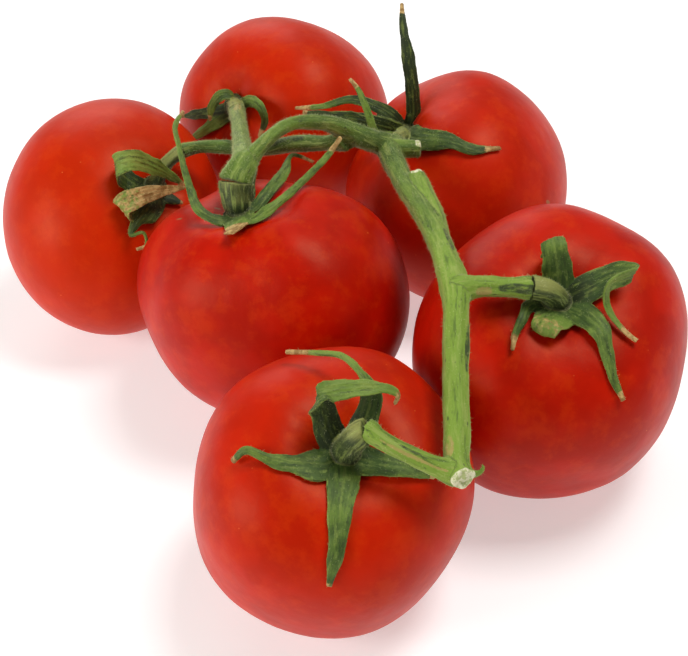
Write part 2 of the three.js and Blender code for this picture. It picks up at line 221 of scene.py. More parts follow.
@dataclass
class Shell:
    """A closed surface: points with its four-sided and three-sided faces."""

    points: np.ndarray
    quads: np.ndarray
    tris: np.ndarray

    @staticmethod
    def loft(rings: np.ndarray, first: np.ndarray, last: np.ndarray) -> "Shell":
        """Closed surface through rings of points, with one point to close each end.

        Args:
            rings: Rings of points, turning anticlockwise about the way that they advance.
            first: Point that closes the first ring.
            last: Point that closes the last ring.

        Returns:
            The shell, with its faces pointing out.
        """
        count, sides = rings.shape[:2]
        points = np.vstack([rings.reshape(-1, 3), first, last])
        ring, side = np.meshgrid(np.arange(count - 1), np.arange(sides), indexing="ij")
        near, far = ring * sides, (ring + 1) * sides
        step = (side + 1) % sides
        quads = np.stack([near + side, near + step, far + step, far + side], -1).reshape(-1, 4)
        a, b = np.arange(sides), (np.arange(sides) + 1) % sides
        end = (count - 1) * sides
        start_fan = np.stack([np.full(sides, count * sides), b, a], -1)
        end_fan = np.stack([np.full(sides, count * sides + 1), end + a, end + b], -1)
        return Shell(points, quads, np.vstack([start_fan, end_fan]))

    @staticmethod
    def merged(shells: list["Shell"]) -> "Shell":
        """All the shells as one, still loose from each other.

        Args:
            shells: The shells.

        Returns:
            One shell with all their points and faces.
        """
        starts = np.cumsum([0] + [len(shell.points) for shell in shells[:-1]])
        return Shell(
            np.vstack([shell.points for shell in shells]),
            np.vstack([shell.quads + start for shell, start in zip(shells, starts)]),
            np.vstack([shell.tris + start for shell, start in zip(shells, starts)]),
        )

    def mesh(self, name: str) -> bpy.types.Mesh:
        """The shell as a Blender mesh, in metres.

        Args:
            name: The mesh's name.

        Returns:
            The new mesh, shaded smooth.
        """
        mesh = bpy.data.meshes.new(name)
        corners = np.concatenate([self.quads.ravel(), self.tris.ravel()]).astype(np.int32)
        quad_starts = 4 * np.arange(len(self.quads))
        tri_starts = 4 * len(self.quads) + 3 * np.arange(len(self.tris))
        starts = np.concatenate([quad_starts, tri_starts]).astype(np.int32)
        mesh.vertices.add(len(self.points))
        mesh.vertices.foreach_set("co", (self.points * MM).astype(np.float32).ravel())
        mesh.loops.add(len(corners))
        mesh.loops.foreach_set("vertex_index", corners)
        mesh.polygons.add(len(starts))
        mesh.polygons.foreach_set("loop_start", starts)
        mesh.update(calc_edges=True)
        mesh.validate()
        mesh.shade_smooth()
        return mesh


# A shell with its normals and how thick the hair is at each point.
Skin = tuple[Shell, np.ndarray, np.ndarray]


def read_shell(mesh: bpy.types.Mesh) -> tuple[Shell, np.ndarray]:
    """The points, four-sided faces and vertex normals of a mesh that has only such faces.

    Args:
        mesh: A mesh in metres.

    Returns:
        The shell in millimetres, and its normals.
    """
    points = np.empty(3 * len(mesh.vertices), np.float32)
    mesh.vertices.foreach_get("co", points)
    normals = np.empty(3 * len(mesh.vertices), np.float32)
    mesh.vertex_normals.foreach_get("vector", normals)
    corners = np.empty(len(mesh.loops), np.int32)
    mesh.loops.foreach_get("vertex_index", corners)
    points = points.reshape(-1, 3).astype(float) / MM
    shell = Shell(points, corners.reshape(-1, 4), np.empty((0, 3), int))
    return shell, normals.reshape(-1, 3).astype(float)


def fused(shells: list[Shell], cell: float, rounds: int) -> tuple[Shell, np.ndarray]:
    """One skin round shells that cross: remeshed in small cells, then smoothed.

    Args:
        shells: Closed shells that may cross.
        cell: Size of the cells.
        rounds: How often each point moves half way to the middle of its neighbours.

    Returns:
        The fused shell and its normals.
    """
    piece = bpy.data.objects.new("loose", Shell.merged(shells).mesh("loose"))
    bpy.context.scene.collection.objects.link(piece)
    remesh = piece.modifiers.new("remesh", "REMESH")
    remesh.mode = "VOXEL"
    remesh.voxel_size = cell * MM
    smooth = piece.modifiers.new("smooth", "SMOOTH")
    smooth.factor = 0.5
    smooth.iterations = rounds
    ready = piece.evaluated_get(bpy.context.evaluated_depsgraph_get())
    shell, normals = read_shell(ready.to_mesh())
    ready.to_mesh_clear()
    loose = piece.data
    bpy.data.objects.remove(piece)
    bpy.data.meshes.remove(loose)
    return shell, normals


def add_piece(
    name: str,
    shell: Shell,
    material: bpy.types.Material,
    marks: dict[Tag, np.ndarray] | None = None,
    stands_for: str | None = None,
) -> None:
    """Writes a shell as a finished piece that rides on the truss.

    Args:
        name: The piece's name.
        shell: Its surface.
        material: Its finish.
        marks: Numbers or vectors for each point, which the finish reads.
        stands_for: The solid that the piece is shown for.
    """
    mesh = shell.mesh(name)
    for tag, values in (marks or {}).items():
        kind, key = ("FLOAT_VECTOR", "vector") if values.ndim == 2 else ("FLOAT", "value")
        attribute = mesh.attributes.new(tag.value, kind, "POINT")
        attribute.data.foreach_set(key, values.astype(np.float32).ravel())
    mesh.materials.append(material)
    piece = bpy.data.objects.new(name, mesh)
    bpy.context.scene.collection.objects.link(piece)
    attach(piece, "root")
    if stands_for:
        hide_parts(stands_for)
    triangles = 2 * len(shell.quads) + len(shell.tris)
    LOG.info("%s: %d triangles", name, triangles)


@dataclass(frozen=True)
class Line:
    """A smooth line through given points."""

    points: np.ndarray

    FINE = 1200
    FEWEST = 8

    def at(self, share: np.ndarray) -> np.ndarray:
        """Points where each span takes an even share of the way from 0 to 1.

        Two neighbours count as apart by the root of their distance. The slope at each follows
        from the chords on both sides, and a cubic joins them.

        Args:
            share: Where a point is wanted, from 0 to 1.

        Returns:
            One point for each share.
        """
        p = self.points
        ends = np.vstack([2 * p[0] - p[1], p, 2 * p[-1] - p[-2]])
        spans = len(p) - 1
        place = np.clip(share, 0, 1) * spans
        span = np.minimum(place.astype(int), spans - 1)
        w = (place - span)[:, None]
        a, b, c, d = (ends[span + k] for k in range(4))
        chords = (b - a, c - b, d - c)
        ab, bc, cd = (np.linalg.norm(chord, axis=1, keepdims=True) ** 0.5 for chord in chords)
        into = ((b - a) / ab - (c - a) / (ab + bc) + (c - b) / bc) * bc
        out = ((c - b) / bc - (d - b) / (bc + cd) + (d - c) / cd) * bc
        return b + into * w + (3 * (c - b) - 2 * into - out) * w**2 + (2 * (b - c) + into + out) * w**3

    def even(self, step: float, first: float = 0.0, last: float = 1.0) -> tuple[np.ndarray, np.ndarray]:
        """Points at even distances.

        Args:
            step: Wanted distance between them.
            first: Share where they start.
            last: Share where they end.

        Returns:
            The shares, and the distance along at each.
        """
        fine = np.linspace(first, last, self.FINE)
        gone = np.concatenate([[0], np.cumsum(np.linalg.norm(np.diff(self.at(fine), axis=0), axis=1))])
        count = max(self.FEWEST, int(round(gone[-1] / step)) + 1)
        along = np.linspace(0, gone[-1], count)
        return np.interp(along, gone, fine), along


def carried(start: np.ndarray, tangents: np.ndarray) -> np.ndarray:
    """Directions square to a path: each is the one before it, less its part along the tangent.

    Args:
        start: The first direction, before it is squared.
        tangents: The path's directions.

    Returns:
        One direction for each tangent.
    """
    faces = np.empty_like(tangents)
    face = start
    for k, tangent in enumerate(tangents):
        face = unit(face - tangent * (face @ tangent))
        faces[k] = face
    return faces


@dataclass(frozen=True)
class FruitShape:
    """One fruit: where it lies, its half sizes, its lean and how its outline is squared and lobed."""

    x: float
    y: float
    lift: float
    radius: float
    height: float
    tilt: float
    azimuth: float
    turn: float
    squash: float
    top: float
    bottom: float
    lobe: float
    phase: float
    lobes: int = 5


FRUIT = {
    place: FruitShape(*sizes)
    for place, sizes in {
        Place.FRONT: (1.4, -77.3, 0, 30.3, 26.4, 25, 290.5, 36, -0.015, 2.8, 2.4, 0.016, 196),
        Place.RIGHT: (54.7, -37.9, 0, 33.6, 29.1, 22.5, 266, 155.5, 0.05, 2.9, 2, 0.02, 215),
        Place.MIDDLE: (-11.9, -16.4, 4.1, 31.8, 29.1, 14, 166, -8, 0.108, 2.2, 2.4, 0.033, 5),
        Place.LEFT: (-57.4, 29.3, 0, 32.6, 27.5, 49.5, 321.5, 125, 0.055, 2, 2.1, 0.003, 3),
        Place.BACK_LEFT: (-9.3, 77.8, 0, 31.8, 27.7, 56.5, 226, 184.5, -0.037, 2.6, 2.3, 0.009, 258),
        Place.BACK_RIGHT: (40.6, 35, 0, 32.5, 28, 39.5, 181.5, 77.5, 0.045, 2.5, 2.25, 0.019, 77),
    }.items()
}

# How far each fruit's red leans to orange.
ORANGE = {
    Place.FRONT: 0.3,
    Place.RIGHT: 0.12,
    Place.MIDDLE: 0.1,
    Place.LEFT: 0.55,
    Place.BACK_LEFT: 0.45,
    Place.BACK_RIGHT: 0.3,
}


class Fruit:
    """A flattened ball with squared shoulders, shallow lobes and a hollow at the stalk."""

    def __init__(self, shape: FruitShape) -> None:
        """Places the fruit so that its lowest skin is pressed a little into the floor.

        Args:
            shape: The fruit's sizes.
        """
        self.shape = shape
        self.turn = turn_about_z(shape.azimuth) @ turn_about_y(shape.tilt) @ turn_about_z(shape.turn)
        self.axis = self.turn @ UP
        around, down = np.meshgrid(
            np.arange(0, 2 * np.pi, SEARCH_STEP), np.arange(SEARCH_STEP, np.pi, SEARCH_STEP)
        )
        lowest = (self.local(around, down) @ self.turn.T)[..., 2].min()
        self.centre = np.array([shape.x, shape.y, shape.lift - lowest - REST_CUT])
        self.hub = self.centre + self.axis * (shape.height - HOLLOW_DEPTH)

    def local(self, around: np.ndarray, down: np.ndarray) -> np.ndarray:
        """Skin in the fruit's own frame.

        The reach r solves |out r / radius|^p + |up r / height|^p = 1, where out and up are the sine
        and cosine of `down`, and the power p blends from bottom to top. A cosine of the lobes
        swells it, and a bell-shaped hollow is taken off the height round the axis.

        Args:
            around: Angle about the axis.
            down: Angle from the stalk end.

        Returns:
            Points of the skin.
        """
        s = self.shape
        out, up = np.sin(down), np.cos(down)
        shoulder = eased((1 + up) / 2)
        power = s.bottom + (s.top - s.bottom) * shoulder
        ripple = s.lobe * np.cos(s.lobes * around + math.radians(s.phase))
        reach = (np.abs(out) / s.radius) ** power + (np.abs(up) / s.height) ** power
        r = reach ** (-1 / power) * (1 + ripple * out * (LOBE_LOW + (1 - LOBE_LOW) * shoulder))
        hollow = np.where(up > 0, HOLLOW_DEPTH * bell(r * out, HOLLOW_WIDTH), 0)
        x = r * out * np.cos(around) * (1 + s.squash)
        y = r * out * np.sin(around) * (1 - s.squash)
        return np.stack([x, y, r * up - hollow], -1)

    def clearance(self, points: np.ndarray) -> np.ndarray:
        """How far points are above the skin, measured along their lines from the centre.

        Args:
            points: Points in the truss's frame.

        Returns:
            One distance for each point, below 0 inside the fruit.
        """
        own = (points - self.centre) @ self.turn
        reach = np.linalg.norm(own, axis=-1)
        down = np.arccos(np.clip(own[..., 2] / reach, -1, 1))
        around = np.arctan2(own[..., 1], own[..., 0])
        return reach - np.linalg.norm(self.local(around, down), axis=-1)

    def skin(self) -> tuple[Shell, np.ndarray]:
        """The whole fine skin.

        Rings run from the stalk end to the blossom end, closer near the ends. Soft lumps and
        faint creases that fan out from the hollow are added along the line from the centre, and
        what would lie below the floor is flattened onto it.

        Returns:
            The shell, and each point in the fruit's own frame.
        """
        share = np.arange(1, SKIN_DOWN) / SKIN_DOWN
        down = np.pi * (share - END_CROWDING * np.sin(2 * np.pi * share))
        around = -2 * np.pi * np.arange(SKIN_AROUND) / SKIN_AROUND
        grid_around, grid_down = np.meshgrid(around, down)
        own = self.local(grid_around, grid_down).reshape(-1, 3)
        poles = self.local(np.zeros(2), np.array([0.0, np.pi]))
        own = np.vstack([own, poles])
        own += unit(own) * self.relief(own)[:, None]
        world = own @ self.turn.T + self.centre
        world[:, 2] = np.maximum(world[:, 2], 0)
        rings = world[:-2].reshape(len(down), SKIN_AROUND, 3)
        return Shell.loft(rings, world[-2], world[-1]), own

    def relief(self, own: np.ndarray) -> np.ndarray:
        """Height of the skin's soft unevenness, with creases round the hollow and a blossom dimple.

        Lumps of several sizes are added up. The creases are noise read round a circle, so they run
        straight out from the axis, under a bell curve. The dimple is a bell curve too.

        Args:
            own: Points in the fruit's own frame.

        Returns:
            One height for each point.
        """
        seed = int(self.shape.phase)
        lumps = sum(height * soft_noise(own, size, seed + step) for height, size, step in SKIN_LUMPS)
        off_axis = np.linalg.norm(own[:, :2], axis=1)
        angle = np.arctan2(own[:, 1], own[:, 0])
        circle = np.stack([np.cos(angle), np.sin(angle), np.zeros_like(angle)], -1)
        creases = CREASE_HEIGHT * soft_noise(CREASES_ROUND * circle, 1, seed + 2)
        creases = creases * bell(off_axis - CREASE_OFF_AXIS, CREASE_REACH) * (own[:, 2] > 0)
        dimple = -DIMPLE_DEPTH * bell(off_axis, DIMPLE_WIDTH) * (own[:, 2] < 0)
        return lumps + creases + dimple


@dataclass(frozen=True)
class Tube:
    """A round stalk along a route whose entries are x, y, z and radius."""

    route: np.ndarray
    first: float = 0.0
    last: float = 1.0
    gap: float = 0.0
    flare: float = 0.0
    swell_start: float = 0.0
    swell_end: float = 0.0
    tones: tuple[tuple[float, float], ...] = ((0, 0.5), (1, 0.5))

    SIDES = 28
    STEP = 0.5
    FLARE_REACH = 3.2
    SWELL_REACH = 2.2

    def spine(self) -> dict[str, np.ndarray]:
        """The middle line with its frame.

        The radius eases from entry to entry. A flare widens the start by a bell curve, and a
        swelling does the same at either end where a knuckle is.

        Returns:
            middle, tangent, side, other, radius, along and tone, one row for each ring.
        """
        line = Line(self.route[:, :3])
        share, along = line.even(self.STEP, self.first, self.last)
        middle = line.at(share)
        tangent = unit(np.gradient(middle, axis=0))
        middle[0] += tangent[0] * self.gap
        side = carried(RING_START, tangent)
        spans = len(self.route) - 1
        before = np.minimum((share * spans).astype(int), spans - 1)
        blend = eased(share * spans - before)
        radius = self.route[before, 3] * (1 - blend) + self.route[before + 1, 3] * blend
        radius = radius + self.flare * bell(along, self.FLARE_REACH)
        radius = radius + self.swell_start * bell(along, self.SWELL_REACH)
        radius = radius + self.swell_end * bell(along[-1] - along, self.SWELL_REACH)
        tone = np.interp(share, *zip(*self.tones))
        return {
            "middle": middle,
            "tangent": tangent,
            "side": side,
            "other": np.cross(tangent, side),
            "radius": radius,
            "along": along,
            "tone": tone,
        }

    def shell(self) -> Shell:
        """The round tube: at every ring, middle + radius * (cos side + sin other).

        Returns:
            The tube's closed shell.
        """
        s = self.spine()
        angle = (2 * np.pi * np.arange(self.SIDES) / self.SIDES)[None, :, None]
        spokes = np.cos(angle) * s["side"][:, None] + np.sin(angle) * s["other"][:, None]
        rings = s["middle"][:, None] + s["radius"][:, None, None] * spokes
        return Shell.loft(rings, s["middle"][0], s["middle"][-1])


def nearest_rows(points: np.ndarray, samples: np.ndarray, ease: np.ndarray | None = None) -> np.ndarray:
    """Index of the sample nearest to each point, by whole blocks of points.

    Args:
        points: Rows of x, y, z.
        samples: Rows of x, y, z.
        ease: Distance that each sample is credited with, such as its tube's radius.

    Returns:
        One index for each point.
    """
    found = np.empty(len(points), int)
    squares = (samples**2).sum(1)
    credit = np.zeros(len(samples)) if ease is None else ease
    for start in range(0, len(points), BLOCK):
        block = points[start : start + BLOCK]
        apart = (block**2).sum(1)[:, None] + squares - 2 * block @ samples.T
        found[start : start + BLOCK] = np.argmin(np.sqrt(np.maximum(apart, 0)) - credit, axis=1)
    return found


def tube_place(points: np.ndarray, tubes: list[Tube]) -> dict[str, np.ndarray]:
    """Where each point lies on a family of tubes.

    Args:
        points: Rows of x, y, z.
        tubes: The tubes.

    Returns:
        tube (its index), along and left (distances from its start and to its end), angle about
        it, tone, radius, and outward (direction away from its middle line).
    """
    spines = [tube.spine() for tube in tubes]
    joined = {key: np.concatenate([s[key] for s in spines]) for key in spines[0]}
    owner = np.concatenate([np.full(len(s["along"]), k) for k, s in enumerate(spines)])
    total = np.array([s["along"][-1] for s in spines])
    row = nearest_rows(points, joined["middle"], joined["radius"])
    off = points - joined["middle"][row]
    across = (off * joined["side"][row]).sum(1)
    above = (off * joined["other"][row]).sum(1)
    ahead = (off * joined["tangent"][row]).sum(1)
    along = joined["along"][row] + ahead
    outward = unit(across[:, None] * joined["side"][row] + above[:, None] * joined["other"][row])
    return {
        "tube": owner[row],
        "along": along,
        "left": total[owner[row]] - along,
        "angle": np.arctan2(above, across),
        "tone": joined["tone"][row],
        "radius": joined["radius"][row],
        "outward": outward,
    }


def stalk_grain(place: dict[str, np.ndarray], apart: float = 40.0) -> np.ndarray:
    """The stalk rolled out straight: along it, and round it as cosine and sine times the radius.

    Args:
        place: Where each point lies on the tubes.
        apart: How far the start of each tube is from the start of the one before it.

    Returns:
        A vector for each point.
    """
    x = place["along"] + apart * place["tube"]
    y = place["radius"] * np.cos(place["angle"])
    z = place["radius"] * np.sin(place["angle"])
    return np.stack([x, y, z], -1)


def stalk_relief(place: dict[str, np.ndarray], grain: np.ndarray) -> np.ndarray:
    """Long faint ridges, drawn-out wrinkles, lumps and small warts of a stalk's skin.

    The ridges are a cosine of the angle, the rest is noise, and only the peaks of the last noise
    are kept as warts.

    Args:
        place: Where each point lies on the tubes.
        grain: The same, rolled out straight.

    Returns:
        One height for each point.
    """
    ridges = RIDGE_HEIGHT * np.cos(RIDGES * place["angle"] + RIDGE_LEAN * place["along"])
    wrinkles = sum(height * soft_noise(grain * DRAWN_OUT, size, seed) for height, size, seed in WRINKLES)
    height, size, seed = LUMPS
    lumps = height * soft_noise(grain, size, seed)
    height, size, seed = WARTS
    warts = height * eased(soft_noise(grain, size, seed), *WART_PEAKS)
    return ridges + wrinkles + lumps + warts


MAIN_STEM = np.array([
    [27.4, -98.4, 52.3, 2.3], [26.5, -95.2, 52, 2.6], [27.3, -86, 53.5, 2.65], [28.2, -74, 56, 2.7],
    [29.8, -59.5, 59.5, 2.8], [30.5, -48.5, 60.5, 3.3], [28.8, -33.5, 60.5, 2.8],
    [26.3, -19.5, 60, 2.8], [22.5, -4.5, 59, 2.6], [20.5, 7.5, 58, 2.9], [19, 14.5, 58, 3.1],
    [13, 11.5, 62.5, 2.9], [8, 10.5, 66, 2.4], [3, 8, 69.5, 1.9], [-5, 3.5, 72, 1.7],
    [-11.5, -3.5, 71, 1.7], [-15.5, -7.5, 68.5, 2.5],
])
MAIN_TONES = ((0, 1.0), (0.3, 1.0), (0.4, 0.6), (0.5, 0.3), (0.62, 0.25), (0.75, 0.25), (1, 0.45))

# Broken side shoots: one grown along the shoulder of the main stem, and a dead one by its knob.
SHOULDER = np.array([
    [30, -33, 60, 1.8], [28, -18, 60, 2.6], [26.5, -11, 60.5, 2.6], [25.5, -5, 61, 2.3],
])
DEAD_STUB = np.array([[20, 13.5, 58, 2.6], [24, 13, 57.8, 2.5], [28, 12.6, 57.6, 2.3]])

# A sliver of rind that the cut left curling from the end of the main stem.
CUT_SLIVER = np.array([
    [27.6, -95.6, 52, 1.1], [29.6, -96.4, 51.8, 0.8], [31, -96.2, 52.2, 0.55], [31.6, -95.4, 53.2, 0.4],
])

# Side arms from the main stem to each fruit's knuckle, then the stalk on to its calyx.
ARMS = {
    Place.FRONT: [
        [26.4, -95.8, 51.6, 2.2], [21.5, -95, 53.5, 1.9], [15.5, -93, 56, 1.8], [11.5, -91, 57.5, 1.9],
        [9.5, -89.5, 58, 2.3],
    ],
    Place.RIGHT: [
        [31, -50.5, 60.5, 2.8], [36, -49.5, 60.5, 2.3], [41.5, -49.5, 60, 2.2], [47, -49.5, 59.5, 2.5],
    ],
    Place.MIDDLE: [[-15.5, -6.5, 68.5, 2.6], [-17, -10, 67.5, 3.6], [-18, -11.5, 66, 4.1]],
    Place.LEFT: [
        [9, 10, 63, 2.2], [4, 13, 60.5, 1.9], [-2, 16, 59, 2.2], [-7, 18, 57.5, 2.1],
        [-13.5, 19.5, 55.5, 1.6], [-22.5, 24, 54, 1.9], [-30, 25, 54, 1.6], [-35, 23, 54, 1.8],
    ],
    Place.BACK_LEFT: [
        [-16, -7.5, 68, 2.8], [-18, 13.5, 62, 2.3], [-20, 34.5, 55.5, 2.1], [-21.5, 48.5, 50.5, 2.3],
    ],
    Place.BACK_RIGHT: [[20, 16, 57, 2.4], [22, 21, 55, 2.2]],
}
STALKS = {
    Place.FRONT: [[7.5, -89.5, 56.5, 2.7], [6, -88, 53, 2.7]],
    Place.RIGHT: [[50.5, -49.5, 58.5, 2.6], [53, -48.5, 55.5, 2.7]],
    Place.MIDDLE: [[-18, -13.5, 62, 3.9]],
    Place.LEFT: [[-38.5, 20, 53, 1.8], [-41, 17.5, 50.5, 1.9]],
    Place.BACK_LEFT: [[-22.5, 57, 47.5, 2.2]],
    Place.BACK_RIGHT: [[24.5, 28, 52, 2.3]],
}
ARM_TONES = {
    Place.FRONT: (0.95, 0.8),
    Place.RIGHT: (0.9, 0.6),
    Place.MIDDLE: (0.5, 0.3),
    Place.LEFT: (0.15, 0.35),
    Place.BACK_LEFT: (0.5, 0.35),
    Place.BACK_RIGHT: (0.4, 0.3),
}


def fruit_stalk(place: Place, fruit: Fruit) -> tuple[Tube, Tube]:
    """The way from the main stem to a calyx, parted at the knuckle.

    Args:
        place: Which fruit.
        fruit: Its shape, for the foot of the stalk.

    Returns:
        The arm up to the knuckle, and the stalk beyond it.
    """
    foot = [*(fruit.hub + FOOT_HEIGHT * fruit.axis), STALK_FOOT]
    route = np.array([*ARMS[place], *STALKS[place], foot])
    knuckle = (len(ARMS[place]) - 1) / (len(route) - 1)
    near, far = ARM_TONES[place]
    tones = ((0, near), (1, far))
    arm = Tube(route, last=knuckle, flare=ARM_FLARE, swell_end=KNUCKLE_SWELL, tones=tones)
    return arm, Tube(route, first=knuckle, gap=KNUCKLE_GAP, swell_start=KNUCKLE_SWELL, tones=tones)


@dataclass(frozen=True)
class Streak:
    """A dark or brown streak on one tube: from first to last along it, on the side that it faces.

    spread is 1 less the cosine of about half the angle that it covers.
    """

    tube: int
    first: float
    last: float
    facing: tuple[float, float, float]
    spread: float
    tag: Tag

    FIRST_EASE = 0.8
    LAST_EASE = 1.2
    END_WIDTH = 0.35
    EDGE = np.array([0.4, 1, 1])
    EDGE_SIZE = 1.3
    EDGE_SEED = 51

    def mask(self, place: dict[str, np.ndarray]) -> np.ndarray:
        """1 inside the streak, easing to 0 at its ends and sides.

        It is widest half way along, by a sine, and noise makes its sides wander.

        Args:
            place: Where each point lies on the tubes.

        Returns:
            One share for each point.
        """
        along = place["along"]
        ends = eased(along, self.first - self.FIRST_EASE, self.first + self.FIRST_EASE)
        ends = ends * (1 - eased(along, self.last - self.LAST_EASE, self.last + self.LAST_EASE))
        share = np.clip((along - self.first) / (self.last - self.first), 0, 1)
        wide = self.spread * (self.END_WIDTH + (1 - self.END_WIDTH) * np.sin(np.pi * share))
        wander = soft_noise(stalk_grain(place) * self.EDGE, self.EDGE_SIZE, self.EDGE_SEED)
        towards = place["outward"] @ unit(np.array(self.facing)) + 0.5 * wide * wander
        return (place["tube"] == self.tube) * ends * eased(towards, 1 - 2 * wide, 1 - 0.5 * wide)


@dataclass
class TrussStem:
    """The main stem with its broken shoots and its side arms, grown together as one piece.

    A mark fades between the two distances of its pair: cut_depth from the cut, torn_depth from a
    torn end and ring from a knuckle. torn_above is the pair for how far the skin faces up.
    cut_relief holds the height, size and seed of the cut's roughness.
    """

    fruits: dict[Place, Fruit]
    cell: float = STEM_CELL
    rounds: int = 9
    cut_depth: tuple[float, float] = (0.3, 1.3)
    cut_relief: tuple[float, float, int] = (0.5, 1.1, 15)
    torn_depth: tuple[float, float] = (0.6, 2.4)
    torn_above: tuple[float, float] = (0.55, 0.9)
    ring: tuple[float, float] = (0.1, 0.8)
    ring_strength: float = 0.3
    hair_fresh: float = 0.25
    hair_dull: float = 1.3
    streaks: tuple[Streak, ...] = (
        Streak(0, 24, 43, (0.8, -0.5, 0.4), 0.08, Tag.DARK),
        Streak(0, 60, 70, (0.6, 0.1, 0.75), 0.05, Tag.DARK),
        Streak(0, 74, 84, (0.7, 0.1, 0.7), 0.06, Tag.DARK),
        Streak(0, 40, 43, (-0.2, -0.5, 0.85), 0.02, Tag.DARK),
        Streak(0, 2, 11, (-0.6, -0.5, 0.6), 0.16, Tag.BROWN),
        Streak(5, 8.5, 17, (0, -0.85, 0.5), 0.14, Tag.DARK),
        Streak(5, 3, 8, (0, -0.95, 0.2), 0.1, Tag.BROWN),
        Streak(4, 2, 18, (0, -0.72, 0.6), 0.03, Tag.BROWN),
        Streak(4, 6, 14, (0.4, -0.4, 0.8), 0.05, Tag.DARK),
        Streak(7, 12, 26, (0, -0.3, 0.9), 0.3, Tag.DARK),
        Streak(8, 48, 62, (0.1, -0.3, 0.9), 0.3, Tag.BROWN),
    )

    def tubes(self) -> list[Tube]:
        """The main stem, the shoots and the sliver at the cut, then the arms.

        Returns:
            The tubes. Their order is what the streaks and the masks count by.
        """
        shoots = [
            Tube(MAIN_STEM, tones=MAIN_TONES),
            Tube(SHOULDER, tones=((0, 0.9), (1, 0.6))),
            Tube(DEAD_STUB, tones=((0, 0.5), (1, 0.4))),
            Tube(CUT_SLIVER, tones=((0, 0.8), (1, 0.8))),
        ]
        return shoots + [fruit_stalk(place, self.fruits[place])[0] for place in Place]

    def build(self, finish: bpy.types.Material) -> Skin:
        """Fuses the tubes, raises their relief and paints the masks for scars and streaks.

        Args:
            finish: The stalk's material.

        Returns:
            The shell, its normals and how thick the hair is at each point.
        """
        tubes = self.tubes()
        shell, normals = fused([tube.shell() for tube in tubes], self.cell, self.rounds)
        place = tube_place(shell.points, tubes)
        grain = stalk_grain(place)
        height, size, seed = self.cut_relief
        rough = height * self.cut_face(place) * soft_noise(shell.points, size, seed)
        shell.points = shell.points + normals * (stalk_relief(place, grain) + rough)[:, None]
        marks = {
            Tag.GRAIN: grain,
            Tag.FRESH: place["tone"],
            Tag.PALE: self.pale(place),
            Tag.BROWN: self.painted(place, Tag.BROWN),
            Tag.DARK: np.maximum(self.painted(place, Tag.DARK), self.knuckles(place)),
        }
        add_piece("truss_stem_green", shell, finish, marks, "truss_stem")
        hair = self.hair_fresh + self.hair_dull * (1 - place["tone"])
        return shell, normals, hair * (1 - marks[Tag.PALE])

    def painted(self, place: dict[str, np.ndarray], tag: Tag) -> np.ndarray:
        """The strongest streak of one kind at each point, as a share."""
        masks = [streak.mask(place) for streak in self.streaks if streak.tag is tag]
        return np.max(masks, axis=0)

    def cut_face(self, place: dict[str, np.ndarray]) -> np.ndarray:
        """1 on the cut end of the main stem."""
        return (place["tube"] == 0) * (1 - eased(place["along"], *self.cut_depth))

    def pale(self, place: dict[str, np.ndarray]) -> np.ndarray:
        """Dry pale tissue: the cut face, and the upper side of the torn ends of the shoots.

        Args:
            place: Where each point lies on the tubes.

        Returns:
            One share for each point.
        """
        torn = np.isin(place["tube"], [1, 2]) * (1 - eased(place["left"], *self.torn_depth))
        torn = torn * eased(place["outward"][:, 2], *self.torn_above)
        return np.maximum(self.cut_face(place), torn)

    def knuckles(self, place: dict[str, np.ndarray]) -> np.ndarray:
        """Dark ring at the end of every arm."""
        return (place["tube"] > 3) * (1 - eased(place["left"], *self.ring)) * self.ring_strength


@dataclass(frozen=True)
class Sepal:
    """One sepal: its widths and its route from the middle of the calyx.

    widths, light and dry are given at even shares of the length: the width, how light its green
    is from 0 to 1, and how far it has dried. twist has pairs of share and degrees that turn the
    blade about its line. tip is the share at the end that has dried tan.
    """

    widths: tuple[float, ...]
    route: tuple[tuple[float, float, float], ...]
    twist: tuple[tuple[float, float], ...] = ((0, 0),)
    light: tuple[float, ...] = (0.5,)
    tip: float = 0.08
    dry: tuple[float, ...] = (0.0,)


